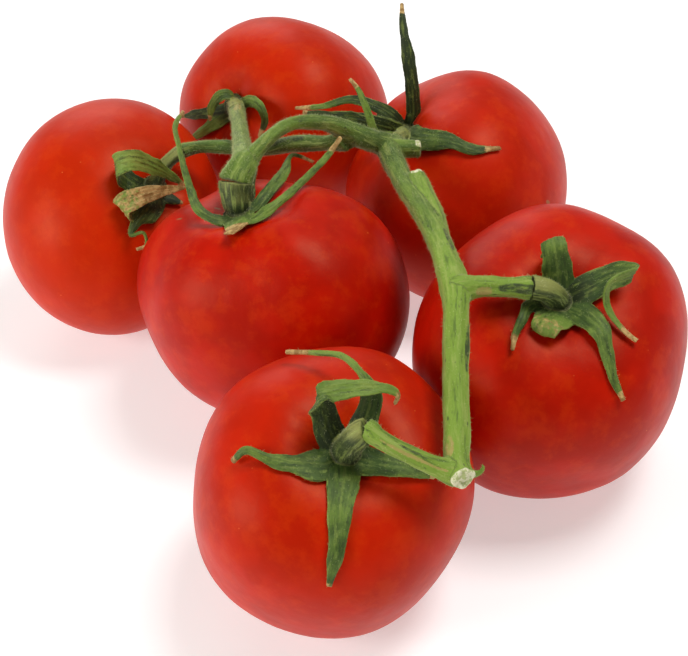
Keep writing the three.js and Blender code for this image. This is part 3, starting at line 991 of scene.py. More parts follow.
SEPALS = {
    Place.FRONT: (
        Sepal(
            (7.4, 6.4, 4.7, 3.4, 1.3),
            ((0, -6, 1), (-1, -12, -1), (-2, -19, -5), (-4, -23, -12)), tip=0.02,
        ),
        Sepal(
            (6.4, 6.6, 3.4, 1.9, 1.3),
            ((-4, -4, 2), (-9, -5, 3.4), (-14, -4.5, 4.4), (-19, -3, 6), (-22, -3, 3)),
            twist=((0, -10), (0.5, -24), (1, -30)), tip=0.04,
        ),
        Sepal(
            (7.2, 6.6, 4.8, 3, 1.2), ((5, -3, 1), (11, -5, 1), (18, -5, -2)),
            light=(0.35, 0.5), tip=0.05,
        ),
        Sepal(
            (5, 6.2, 6, 5.4, 4.6, 3.6, 2, 1),
            (
                (-2.4, 0.6, 6.2), (-3.3, 1.2, 11), (-4, 0.4, 16.4), (-0.8, 2, 16), (5, 3, 15.4),
                (9.6, 3.4, 14.4), (11.3, 3.3, 12.8), (10.6, 3, 10.8),
            ),
            twist=((0, -22), (0.4, -10), (0.52, 104), (1, 104)),
            light=(0, 0, 0.1, 0.9, 0.9, 0.7), tip=0.07,
        ),
        Sepal(
            (5, 5.6, 4.8, 1.6, 1.3, 1.2, 1),
            ((4, 3, 5), (6, 5, 11), (5, 7, 14), (1, 13, 15), (-5, 17, 13), (-11, 20, 11)),
            light=(0.1, 0.1, 0.2, 0.8, 0.9, 1, 1), tip=0.14,
        ),
    ),
    Place.RIGHT: (
        Sepal(
            (7, 7.6, 6.8, 5.8, 5.4, 4),
            ((0, 3, 6), (-1, 4.8, 12.6), (-1.2, 6.8, 13.6), (-2, 8, 8.5)), light=(0.4, 0.5), tip=0.02,
        ),
        Sepal(
            (6.5, 7, 6.8, 5.8, 3.2, 2.1, 1.8, 1.5, 1),
            (
                (6, 0, 5), (11.4, 0, 8), (15.2, -2, 10.2), (9.4, -5, 10), (9, -6, 5), (12, -10, 1),
                (15, -12, -1),
            ),
            light=(0.2, 0.1, 0.4, 0.8, 0.7, 0.6), tip=0.1,
        ),
        Sepal(
            (6.4, 7, 5.2, 3.1, 2.2, 1.1),
            ((4, -5, 2), (7, -11, 2), (8, -15, -1), (9, -19, -5), (11, -22, -9)), tip=0.06,
        ),
        Sepal(
            (7, 8.6, 8.4, 7, 4),
            ((-2, -6, 2), (-4.6, -9.8, 3), (-5.2, -10.8, 1.2), (-4.4, -9.4, 0.8)),
            light=(0.3, 0.9, 0.8), tip=0.05, dry=(0, 0.1, 0.45, 0.3),
        ),
        Sepal(
            (5, 4.6, 3.2, 2.4, 1.7, 1),
            ((-7, -3, 3), (-9, -7, 3), (-11, -10, 1), (-12, -13, -1)), light=(0.3, 0.3, 0.6), tip=0.16,
        ),
    ),
    Place.MIDDLE: (
        Sepal(
            (4, 2.8, 2.1, 1.8, 1.5, 1),
            ((-4, -5, 3), (-9, -2, 4), (-12, 7, 5), (-15, 20, 7), (-17, 31, 8), (-16, 42, 6)),
            twist=((0, -40), (0.2, -50), (0.4, -20), (0.6, 0)), light=(0.3, 0.6, 0.8), tip=0.06,
        ),
        Sepal(
            (4.8, 3.6, 2.1, 1.8, 1.7, 1.2),
            ((3, -8, 4), (7, -8, 7), (12, -3, 8), (17, 5, 8), (21.5, 13, 8), (25.2, 20.6, 8.6)),
            twist=((0, 10), (0.2, 55), (0.4, 80)), light=(0.5, 0.7, 0.6), tip=0.12,
        ),
        Sepal(
            (3.8, 3.6, 3.4, 2.6, 1.2, 0.9),
            ((4, -2, 4), (8, 3, 6), (11, 12, 5), (13, 21, 4), (18, 22, 1)),
            twist=((0, 50), (0.2, 65), (0.8, 65), (1, 90)), light=(0.3, 0.6, 0.4),
        ),
        Sepal(
            (7, 7.6, 6.6, 3.4), ((0, -7, 4), (-0.4, -11, 5), (-1.8, -13.2, 5)),
            light=(0.7,), tip=0.26,
        ),
        Sepal((4.6, 3.6, 2, 1), ((2, 3, 3), (3, 8, 5), (4, 12, 6)), light=(0.1,)),
    ),
    Place.LEFT: (
        Sepal(
            (5, 6, 6.4, 6, 5.4, 4.6, 2.6, 1),
            (
                (-3.5, -3, 3.5), (-5.8, -4, 7), (-6.8, -7, 11.6), (-5, -9, 15), (-2, -9, 15.6),
                (2.6, -6, 11.4), (9, -2, 3),
            ),
            twist=((0, 0), (0.4, 10), (0.5, 50)), light=(0, 0, 0, 0.9, 1, 1, 0.9), tip=0.03,
        ),
        Sepal(
            (5, 6.4, 6.4, 6, 4.4, 2.6, 1.2),
            ((-3, -8, 2), (-5.6, -13, 3), (-5.6, -14, 5.2), (-0.6, -11, 6), (9, -2, 2)),
            twist=((0, 0), (0.33, 0), (0.5, 40), (0.6, 60)), light=(0.2, 0.8, 0.9),
            dry=(0.1, 0.3, 0.42, 0.5, 0.7, 1, 1),
        ),
        Sepal(
            (7, 9, 7.6, 3, 1.3, 1.2, 1),
            (
                (0, -8, 0.5), (-3, -13.6, -0.4), (-4.2, -17.4, -1.8), (-1, -16.8, -1.6),
                (-0.6, -18.2, -4.8), (-3, -19.6, -5),
            ),
            light=(0, 0, 0.1, 0.5, 0.7), tip=0.1,
        ),
        Sepal((6, 5, 3, 1), ((3, -1, -1), (8, -2, -3)), light=(0,)),
    ),
    Place.BACK_LEFT: (
        Sepal(
            (5.4, 5.2, 3.4, 1), ((-5, -2, -2), (-10, -3, -5), (-16, -1, -10)),
            light=(0.6, 0.9), tip=0.06,
        ),
        Sepal(
            (4, 3.6, 3.2, 2.6, 1),
            ((-1, -2, 5), (-4, -3, 6), (-7, -4, 3), (-8, -5, -1)),
            twist=((0, 0), (0.5, -60), (1, -80)), light=(0.5, 0.9),
        ),
        Sepal(
            (4.4, 4, 3.6, 3, 2.2, 1),
            ((5, -9, 7), (8, -15, 8), (9, -17, 5), (7, -17, 0)),
            twist=((0, 0), (0.4, 0), (1, -30)), light=(0.7, 0.7, 0.2),
        ),
        Sepal((4.6, 4, 3, 1), ((-7, 0, -1), (-18, 7, -6)), light=(0,)),
        Sepal((4, 3.4, 2.4, 1), ((2, -9, 0), (2, -12, -2)), light=(0.1,)),
    ),
    Place.BACK_RIGHT: (
        Sepal(
            (3.6, 4, 3.8, 3.7, 2.3, 1),
            ((2, 0, 6), (2, 0, 13), (1, 2, 23), (0, 7, 30), (0, 12, 34)),
            twist=((0, 70), (0.25, 86), (1, 88)), light=(-0.3,), tip=0.07,
        ),
        Sepal(
            (5, 6.8, 6.8, 3.4, 1.1),
            ((3, -13, 7), (10, -18, 9), (16, -21, 8), (23, -19, 6)), light=(0.2, 0.3, 0.2), tip=0.1,
        ),
        Sepal(
            (4.6, 4.4, 3, 2.1, 1.6, 1),
            ((-3, -2, 7), (-8, -2, 11), (-15, -1, 13), (-22, -2, 12), (-30, 3, 9)),
            light=(0, 0.3, 0.8), tip=0.14,
        ),
        Sepal(
            (5.4, 5, 4, 2.8, 1.2),
            ((-6, -4, 6), (-15, -4, 9), (-22, -2, 9), (-28, 4, 7)),
            twist=((0, 20), (0.5, 45)), light=(0,), tip=0.05,
        ),
        Sepal(
            (2.6, 2.4, 2.3, 2.2, 1.8, 1),
            ((-5, -8, 6), (-9, -13, 10), (-11, -11, 16), (-13, -8, 20), (-15, -6, 22)),
            light=(0.8,), tip=0.08,
        ),
    ),
}


@dataclass
class Calyx:
    """The cushion, sepals and last piece of stalk that stay on one fruit, grown together.

    cushion holds heights up the fruit's axis with the radius at each. rib and rim are a blade's
    thickness at its middle and its edge. wave_left, wave_right and ragged_edge hold the size and
    seed of their noise. stalk_edge, foot and ring are the two distances between which their mark
    fades; the mark of foot is painted shade low on the cushion round the stalk's foot. foot_edge
    holds the height, size and seed that make the edge of that painted shade uneven.
    """

    place: Place
    fruits: dict[Place, Fruit]
    cell: float = CALYX_CELL
    rounds: int = 3
    cushion: tuple[tuple[float, float], ...] = ((-1.2, 3.0), (0.0, 3.9), (1.4, 3.7), (2.8, 2.6))
    cushion_rings: int = 12
    cushion_sides: int = 32
    step: float = 0.5
    columns: int = 13
    rim: float = 0.5
    rib: float = 0.8
    root: float = 0.8
    lift: float = 0.7
    cup: float = 0.07
    cup_power: float = 1.6
    wave: float = 0.4
    wave_left: tuple[float, int] = (3.1, 31)
    wave_right: tuple[float, int] = (2.6, 32)
    ragged: float = 0.05
    ragged_edge: tuple[float, int] = (1.7, 33)
    skin_gap: float = 0.3
    blade_reach: float = 0.9
    blade_fade: float = 0.3
    stalk_edge: tuple[float, float] = (0.15, 0.9)
    vein: float = 0.16
    groove: float = 0.1
    stalk_share: float = 0.8
    shade: float = 0.55
    shade_reach: float = 5.5
    # Heights up the fruit's axis over which the painted shade round the stalk's foot fades out.
    foot: tuple[float, float] = (2.8, 5.0)
    foot_edge: tuple[float, float, int] = (0.9, 1.6, 41)
    ring: tuple[float, float] = (0.1, 0.7)
    ring_strength: float = 0.2
    hair_blade: float = 0.35
    hair_stalk: float = 1.2
    samples: dict[str, list[np.ndarray]] = field(default_factory=dict)

    APART = 9.0
    GRAIN_APART = 60

    @property
    def fruit(self) -> Fruit:
        """The fruit that carries this calyx."""
        return self.fruits[self.place]

    def lifted(self, points: np.ndarray, distance: float) -> np.ndarray:
        """Points moved out of every fruit until they are this far above its skin.

        Args:
            points: Points in the truss's frame, in any grid.
            distance: The least distance above the skin.

        Returns:
            The moved points, in the same grid.
        """
        flat = points.reshape(-1, 3)
        for fruit in self.fruits.values():
            short = np.maximum(distance - fruit.clearance(flat), 0)
            flat = flat + unit(flat - fruit.centre) * short[:, None]
        return flat.reshape(points.shape)

    def blade(self, sepal: Sepal, number: int) -> Shell:
        """One sepal as a thin closed blade.

        Across the blade s runs from -1 to 1. A point is the middle line + s * half width across,
        less cup * width * |s|^cup_power along the face's normal, and a ripple that grows to the
        edges. The thickness falls from rib to rim.

        Args:
            sepal: The sepal's sizes.
            number: Its number in the calyx, kept for the finish.

        Returns:
            The blade's shell.
        """
        root = self.fruit.axis * self.root
        line = Line(self.fruit.hub + np.vstack([root, np.array(sepal.route, float)]))
        share, distance = line.even(self.step)
        middle = line.at(share)
        along = distance / distance[-1]
        tangent = unit(np.gradient(middle, axis=0))
        face = carried(self.fruit.axis, tangent)
        angle = np.radians(np.interp(along, *zip(*sepal.twist)))[:, None]
        normal = face * np.cos(angle) + np.cross(tangent, face) * np.sin(angle)
        across = np.cross(tangent, normal)
        half = spread(along, sepal.widths) / 2
        s = np.linspace(-1, 1, self.columns)
        edge = np.abs(s) ** self.cup_power
        row = np.full_like(distance, self.APART * number)
        wander = np.stack([distance, row, np.zeros_like(distance)], -1)
        left = soft_noise(wander, *self.wave_left)[:, None]
        right = soft_noise(wander, *self.wave_right)[:, None]
        sway = np.where(s < 0, left, right)
        ragged = 1 + self.ragged * soft_noise(wander, *self.ragged_edge)[:, None] * np.abs(s)
        ripple = self.wave * np.abs(s) ** 2 * sway * np.minimum(1, half / 2)[:, None]
        drop = ripple - 2 * half[:, None] * self.cup * edge
        sheet = middle[:, None] + (half[:, None] * s * ragged)[..., None] * across[:, None]
        sheet = sheet + drop[..., None] * normal[:, None]
        sheet = self.lifted(sheet, self.lift)
        self.remember(sheet, normal, across, along, distance, s, sepal, number)
        thick = self.rim + (self.rib - self.rim) * (1 - s**2)
        thick = thick[None, :, None] / 2 * normal[:, None]
        rings = np.concatenate([sheet + thick, (sheet - thick)[:, ::-1]], axis=1)
        return Shell.loft(rings, sheet[0, self.columns // 2], sheet[-1, self.columns // 2])

    def remember(
        self,
        sheet: np.ndarray,
        normal: np.ndarray,
        across: np.ndarray,
        along: np.ndarray,
        distance: np.ndarray,
        s: np.ndarray,
        sepal: Sepal,
        number: int,
    ) -> None:
        """Keeps where the blade's middle surface is, so that the fused skin can be told apart again.

        Args:
            sheet: The middle surface as a grid of points.
            normal: The face's normal, one for each row.
            across: Direction across the blade, one for each row; not used.
            along: Share of the length, one for each row.
            distance: Distance from the root, one for each row.
            s: Place across the blade, from -1 to 1.
            sepal: The sepal's sizes.
            number: Its number in the calyx.
        """
        grid = np.ones(sheet.shape[:2])
        half = (sheet[:, -1] - sheet[:, 0]) / 2
        dried = eased(along, 1 - sepal.tip - 0.05, 1 - sepal.tip + 0.03) * min(1.0, 30 * sepal.tip)
        rows = {
            "middle": sheet,
            "normal": normal[:, None] * grid[..., None],
            "along": along[:, None] * grid,
            "distance": distance[:, None] * grid + self.GRAIN_APART * number,
            "across": s[None] * grid,
            "offset": s[None] * np.linalg.norm(half, axis=-1)[:, None],
            "dry": np.maximum(dried, spread(along, sepal.dry))[:, None] * grid,
            "light": spread(along, sepal.light)[:, None] * grid,
        }
        for key, values in rows.items():
            flat = values.reshape(-1, 3) if values.ndim == 3 else values.ravel()
            self.samples.setdefault(key, []).append(flat)

    def shaded(self, points: np.ndarray) -> np.ndarray:
        """Painted shade: 1 low on the cushion round the stalk's foot, with an uneven edge.

        Args:
            points: Points in the truss's frame.

        Returns:
            One share for each point.
        """
        height = (points - self.fruit.hub) @ self.fruit.axis
        uneven, size, seed = self.foot_edge
        return 1 - eased(height + uneven * soft_noise(points, size, seed), *self.foot)

    def crowded(self, points: np.ndarray) -> np.ndarray:
        """1 close to the fruit's axis, where the sepals stand in each other's shade.

        Args:
            points: Points in the truss's frame.

        Returns:
            A bell curve of each point's distance from the axis.
        """
        off = points - self.fruit.hub
        height = off @ self.fruit.axis
        return bell(np.linalg.norm(off - height[:, None] * self.fruit.axis, axis=1), self.shade_reach)

    def cushion_shell(self) -> Shell:
        """The small domed cushion: rings up the fruit's axis whose radius follows the profile.

        Returns:
            The cushion's closed shell.
        """
        side = unit(RING_START - self.fruit.axis * (self.fruit.axis @ RING_START))
        other = np.cross(self.fruit.axis, side)
        heights, radii = zip(*self.cushion)
        up = np.linspace(heights[0], heights[-1], self.cushion_rings)
        radius = np.interp(up, heights, radii)
        angle = 2 * np.pi * np.arange(self.cushion_sides) / self.cushion_sides
        spokes = np.cos(angle)[:, None] * side + np.sin(angle)[:, None] * other
        middle = self.fruit.hub + up[:, None] * self.fruit.axis
        rings = middle[:, None] + radius[:, None, None] * spokes
        return Shell.loft(rings, middle[0], middle[-1])

    def on_blades(self, points: np.ndarray) -> dict[str, np.ndarray]:
        """Where each point lies on the blade nearest to it.

        Args:
            points: Points in the truss's frame.

        Returns:
            What was kept for the nearest place on a blade, with side (1 above the blade's middle
            surface, -1 below it) and apart (distance from it).
        """
        samples = {key: np.concatenate(rows) for key, rows in self.samples.items()}
        row = nearest_rows(points, samples["middle"])
        near = {key: values[row] for key, values in samples.items()}
        off = points - near["middle"]
        near["side"] = np.sign((off * near["normal"]).sum(1))
        near["apart"] = np.linalg.norm(off, axis=1)
        return near

    def leafy(
        self, points: np.ndarray, apart: np.ndarray, stalk: Tube, radius: np.ndarray
    ) -> np.ndarray:
        """1 on the sepals, easing to 0 on the stalk and the cushion.

        Args:
            points: Points in the truss's frame.
            apart: Distance of each from the nearest blade.
            stalk: The stalk.
            radius: The stalk's radius nearest to each point.

        Returns:
            One share for each point.
        """
        middle = stalk.spine()["middle"]
        from_line = np.linalg.norm(points - middle[nearest_rows(points, middle)], axis=1)
        on_stalk = 1 - eased(from_line - radius, *self.stalk_edge)
        return eased(self.blade_reach - apart, 0.0, self.blade_fade) * (1 - on_stalk)

    def blade_relief(
        self, lined: np.ndarray, side: np.ndarray, veins: np.ndarray, grown: np.ndarray
    ) -> np.ndarray:
        """Height of the blades' relief: wrinkles, and veins that are ribs below and grooves above.

        Args:
            lined: Distance along the blade, distance across it, and side.
            side: 1 above the blade's middle surface, -1 below it.
            veins: 1 on a vein.
            grown: 1 along the part of the blade where the veins stand out.

        Returns:
            One height for each point.
        """
        height, size, seed = SEPAL_WRINKLE
        wrinkle = height * soft_noise(lined * SEPAL_DRAWN_OUT, size, seed)
        height, size, seed = SEPAL_LUMPS
        wrinkle = wrinkle + height * soft_noise(lined, size, seed)
        return wrinkle + np.where(side > 0, -self.groove, self.vein) * veins * grown

    def build(self, finish: bpy.types.Material) -> Skin:
        """Fuses the parts, raises veins and stalk relief, and writes the piece.

        A middle vein and two fainter ones half way to the rims are bell curves across the blade.

        Args:
            finish: The calyx's material.

        Returns:
            The shell, its normals and how thick the hair is at each point.
        """
        stalk = fruit_stalk(self.place, self.fruit)[1]
        blades = [self.blade(sepal, number) for number, sepal in enumerate(SEPALS[self.place])]
        shell, normals = fused([self.cushion_shell(), stalk.shell(), *blades], self.cell, self.rounds)
        near = self.on_blades(shell.points)
        place = tube_place(shell.points, [stalk])
        grain = stalk_grain(place)
        leaf = self.leafy(shell.points, near["apart"], stalk, place["radius"])
        across, along, side = near["across"], near["along"], near["side"]
        lined = np.stack([near["distance"], near["offset"], side], -1)
        veins = bell(across, 0.1) + 0.5 * bell(np.abs(across) - 0.5, 0.09)
        grown = eased(along, 0.02, 0.15) * (1 - eased(along, 0.8, 1))
        relief = leaf * self.blade_relief(lined, side, veins, grown)
        relief = relief + (1 - leaf) * self.stalk_share * stalk_relief(place, grain)
        shell.points = self.lifted(shell.points + normals * relief[:, None], self.skin_gap)
        # Painted light: off the blades, the stalk and cushion are lighter where they face up and darker
        # below.
        painted_top_light = eased(normals[:, 2], -0.1, 0.9)
        light = near["light"] - self.shade * self.crowded(shell.points)
        ring = self.ring_strength * (1 - eased(place["along"], *self.ring))
        marks = {
            Tag.GRAIN: np.where(leaf[:, None] > 0.5, lined, grain),
            Tag.BLADE: np.stack([along, across, side], -1),
            Tag.FRESH: leaf,
            Tag.LIGHT: np.where(leaf > 0.5, light, painted_top_light),
            Tag.PALE: veins * grown * leaf,
            Tag.BROWN: near["dry"] * leaf,
            # Off the blades DARK is the dark knuckle ring and painted shade low on the cushion round the
            # stalk's foot.
            Tag.DARK: np.maximum(ring, self.shaded(shell.points)) * (1 - leaf),
        }
        name = f"calyx_{self.place.value}"
        add_piece(f"{name}_green", shell, finish, marks, name)
        return shell, normals, self.hair_blade * leaf + self.hair_stalk * (1 - leaf)


@dataclass
class Fuzz:
    """Fine pale hairs standing on a green skin.

    sunk is how deep a hair starts below the skin; shortest and longest are shares of length.
    """

    length: float
    radius: float = 0.035
    lean: float = 0.45
    sunk: float = 0.15
    shortest: float = 0.45
    longest: float = 1.35

    def build(
        self,
        name: str,
        skins: list[Skin],
        count: int,
        finish: bpy.types.Material,
        slot: Slot,
        seed: int,
    ) -> None:
        """Each hair is a slim four-faced spike on a point drawn by chance.

        Args:
            name: The piece's name.
            skins: Shells with their normals and how thick the hair is at each point.
            count: How many hairs.
            finish: The hair's material.
            slot: The record's slot; not used.
            seed: Seed of the draw.
        """
        draw = np.random.default_rng(seed)
        points = np.vstack([shell.points for shell, _, _ in skins])
        normals = np.vstack([normal for _, normal, _ in skins])
        weight = np.concatenate([hair for _, _, hair in skins])
        chosen = draw.choice(len(points), count, replace=False, p=weight / weight.sum())
        root, normal = points[chosen], normals[chosen]
        way = unit(normal + self.lean * draw.normal(size=(count, 3)))
        side = unit(np.cross(way, draw.normal(size=(count, 3))))
        other = np.cross(way, side)
        length = self.length * draw.uniform(self.shortest, self.longest, (count, 1))
        angle = (2 * np.pi * np.arange(3) / 3)[None, :, None]
        ring = np.cos(angle) * side[:, None] + np.sin(angle) * other[:, None]
        base = (root - self.sunk * normal)[:, None] + self.radius * ring
        corners = np.concatenate([base, (root + way * length)[:, None]], axis=1)
        faces = np.array([[0, 1, 3], [1, 2, 3], [2, 0, 3], [0, 2, 1]])
        tris = (4 * np.arange(count)[:, None, None] + faces).reshape(-1, 3)
        shell = Shell(corners.reshape(-1, 3), np.empty((0, 4), int), tris)
        add_piece(name, shell, finish)


class Signal:
    """A number that runs through a material's nodes; each Python operation adds one Math node."""

    def __init__(self, tree: bpy.types.NodeTree, socket: bpy.types.NodeSocket) -> None:
        """Wraps one output socket."""
        self.tree = tree
        self.socket = socket

    def _math(self, operation: str, *values: "Signal | float") -> "Signal":
        """One Math node on these values.

        Args:
            operation: What the node does.
            values: Its inputs.

        Returns:
            Its output.
        """
        node = self.tree.nodes.new("ShaderNodeMath")
        node.operation = operation
        for k, value in enumerate(values):
            if isinstance(value, Signal):
                self.tree.links.new(value.socket, node.inputs[k])
            else:
                node.inputs[k].default_value = value
        return Signal(self.tree, node.outputs[0])

    def __add__(self, other: "Signal | float") -> "Signal":
        """Sum."""
        return self._math("ADD", self, other)

    __radd__ = __add__

    def __mul__(self, other: "Signal | float") -> "Signal":
        """Product."""
        return self._math("MULTIPLY", self, other)

    __rmul__ = __mul__

    def __sub__(self, other: "Signal | float") -> "Signal":
        """Difference."""
        return self._math("SUBTRACT", self, other)

    def __rsub__(self, other: float) -> "Signal":
        """A number less this one."""
        return self._math("SUBTRACT", other, self)

    def __abs__(self) -> "Signal":
        """Size without sign."""
        return self._math("ABSOLUTE", self)


Colour = tuple[float, float, float]


def srgb(*parts: float) -> Colour:
    """Linear colour of a display colour given as red, green and blue from 0 to 255."""
    return tuple(((c / 255 + 0.055) / 1.055) ** 2.4 if c > 10 else c / 255 / 12.92 for c in parts)


class Shader:
    """A material under construction, with its nodes made by plain calls."""

    def __init__(self, name: str) -> None:
        """Starts an empty material.

        Args:
            name: The material's name.
        """
        self.material = bpy.data.materials.new(name)
        self.material.use_nodes = True
        self.tree = self.material.node_tree
        self.tree.nodes.clear()

    def node(
        self,
        kind: str,
        settings: dict[str, str] | None = None,
        inputs: dict[int | str, "Signal | float | Colour"] | None = None,
        output: int = 0,
    ) -> Signal | None:
        """Any node.

        Args:
            kind: Its type.
            settings: Its options, set first.
            inputs: Values or links of its sockets, by name or number.
            output: Which output is wanted.

        Returns:
            That output.
        """
        node = self.tree.nodes.new(kind)
        for key, value in (settings or {}).items():
            setattr(node, key, value)
        for key, value in (inputs or {}).items():
            socket = node.inputs[key]
            if isinstance(value, Signal):
                self.tree.links.new(value.socket, socket)
            elif isinstance(value, tuple) and socket.type == "RGBA":
                socket.default_value = (*value, 1.0)
            else:
                socket.default_value = value
        return Signal(self.tree, node.outputs[output]) if node.outputs else None

    def place(self) -> Signal:
        """Object coordinates in millimetres."""
        coordinates = self.node("ShaderNodeTexCoord", output=3)
        return self.scaled(coordinates, 1 / MM)

    def scaled(self, vector: Signal, factor: float) -> Signal:
        """A vector times a number."""
        return self.node("ShaderNodeVectorMath", {"operation": "SCALE"}, {0: vector, 3: factor})

    def stretched(self, vector: Signal, factors: tuple[float, float, float]) -> Signal:
        """A vector times another, part by part."""
        return self.node("ShaderNodeVectorMath", {"operation": "MULTIPLY"}, {0: vector, 1: factors})

    def drawn_out(self, vector: Signal, share: float) -> Signal:
        """A vector whose first part is this much smaller, so that noise is long in its direction."""
        return self.stretched(vector, (share, 1, 1))

    def vector(self, tag: Tag) -> Signal:
        """A mesh attribute as a vector."""
        return self.node("ShaderNodeAttribute", {"attribute_name": tag.value}, output=1)

    def number(self, tag: Tag) -> Signal:
        """A mesh attribute as a number."""
        return self.node("ShaderNodeAttribute", {"attribute_name": tag.value}, output=2)

    def part(self, vector: Signal, axis: int) -> Signal:
        """One part of a vector."""
        return self.node("ShaderNodeSeparateXYZ", inputs={0: vector}, output=axis)

    def noise(self, vector: Signal, size: float, detail: float = 2.0, roughness: float = 0.5) -> Signal:
        """Cloudy noise about 0.5 whose patches are about `size` across."""
        inputs = {"Vector": vector, "Scale": 1 / size, "Detail": detail, "Roughness": roughness}
        return self.node("ShaderNodeTexNoise", inputs=inputs)

    def dots(self, vector: Signal, size: float) -> Signal:
        """Distance to the nearest of scattered points, as a share of their spacing."""
        return self.node("ShaderNodeTexVoronoi", inputs={"Vector": vector, "Scale": 1 / size})

    def eased(self, value: Signal, low: float, high: float) -> Signal:
        """Smooth step of a value: 0 at low and 1 at high, where low may be the larger."""
        inputs = {0: value, 1: low, 2: high, 3: 0.0, 4: 1.0}
        return self.node("ShaderNodeMapRange", {"interpolation_type": "SMOOTHSTEP"}, inputs)

    def mix(self, mask: Signal, first: "Signal | Colour", second: "Signal | Colour") -> Signal:
        """Colour that goes from first to second with the mask."""
        inputs = {0: mask, 6: first, 7: second}
        return self.node("ShaderNodeMix", {"data_type": "RGBA"}, inputs, output=2)

    def bump(self, height: Signal, depth: float) -> Signal:
        """Normal of a fine relief whose full height is `depth` millimetres."""
        inputs = {"Strength": 1.0, "Distance": depth * MM, "Height": height}
        return self.node("ShaderNodeBump", inputs=inputs)

    def finish(self, **sockets: "Signal | float | Colour") -> bpy.types.Material:
        """Ends the material in one Principled shader.

        Args:
            sockets: What each socket gets, with _ for the spaces in its name.

        Returns:
            The finished material.
        """
        names = {key.replace("_", " ").replace("ior", "IOR"): value for key, value in sockets.items()}
        surface = self.node("ShaderNodeBsdfPrincipled", inputs=names)
        self.node("ShaderNodeOutputMaterial", inputs={"Surface": surface})
        return self.material


@dataclass(frozen=True)
class RipeSkin:
    """Glossy red skin with soft mottling, pale pores, a flush at the stalk and a blossom scar."""

    red: Colour = srgb(190, 14, 0)
    deep: Colour = srgb(168, 4, 0)
    orange: Colour = srgb(206, 48, 1)
    flush: Colour = srgb(210, 58, 2)
    pore: Colour = srgb(228, 120, 60)
    scar: Colour = srgb(150, 110, 70)
    blush_share: float = 0.32
    flush_share: float = 0.6
    pore_share: float = 0.6
    dash_share: float = 0.7
    rough: float = 0.38
    rough_range: float = 0.1
    bump: float = 0.05
    ior: float = 1.3
    mirrored: Colour = (1.0, 0.66, 0.38)

    def material(self, name: str) -> bpy.types.Material:
        """The finish as a material that reads each point's place in the fruit's own frame.

        Args:
            name: The material's name.

        Returns:
            The material.
        """
        s = Shader(name)
        skin = s.vector(Tag.SKIN)
        z = s.part(skin, 2)
        flat = s.stretched(skin, (1, 1, 0))
        off_axis = s.node("ShaderNodeVectorMath", {"operation": "LENGTH"}, {0: flat}, output=1)
        clouds = s.noise(skin, 14, 3)
        colour = s.mix(s.eased(clouds, 0.38, 0.62), self.red, self.deep)
        colour = s.mix(s.number(Tag.FRESH), colour, self.orange)
        blush = s.eased(s.noise(skin, 6, 5, 0.7), 0.46, 0.66) * self.blush_share
        colour = s.mix(blush, colour, self.flush)
        stalk_end = s.eased(off_axis, 17, 5) * s.eased(z, 8, 16)
        patchy = s.eased(s.noise(s.stretched(skin, (1, 1, 0.6)), 2.6, 4, 0.7), 0.45, 0.72)
        colour = s.mix(stalk_end * patchy * self.flush_share, colour, self.flush)
        pores = s.eased(s.dots(skin, 4.2), 0.06, 0.03) * s.eased(s.noise(skin, 5, 1), 0.5, 0.6)
        colour = s.mix(pores * self.pore_share, colour, self.pore)
        dashes = s.eased(s.dots(s.stretched(skin, (0.35, 1, 0.35)), 8.5), 0.05, 0.03)
        dashes = dashes * s.eased(s.noise(skin, 11, 1), 0.55, 0.6)
        colour = s.mix(dashes * self.dash_share, colour, self.scar)
        end = s.eased(off_axis, 1.5, 0.7) * s.eased(z, -8, -12)
        colour = s.mix(end, colour, self.scar)
        rough = s.noise(skin, 9, 2) * self.rough_range + self.rough
        fine = s.noise(skin, 0.7, 1) * 0.4 + s.noise(skin, 4.5, 1) * 3.0
        return s.finish(
            Base_Color=colour,
            Roughness=rough,
            Normal=s.bump(fine, self.bump),
            ior=self.ior,
            Specular_Tint=self.mirrored,
        )


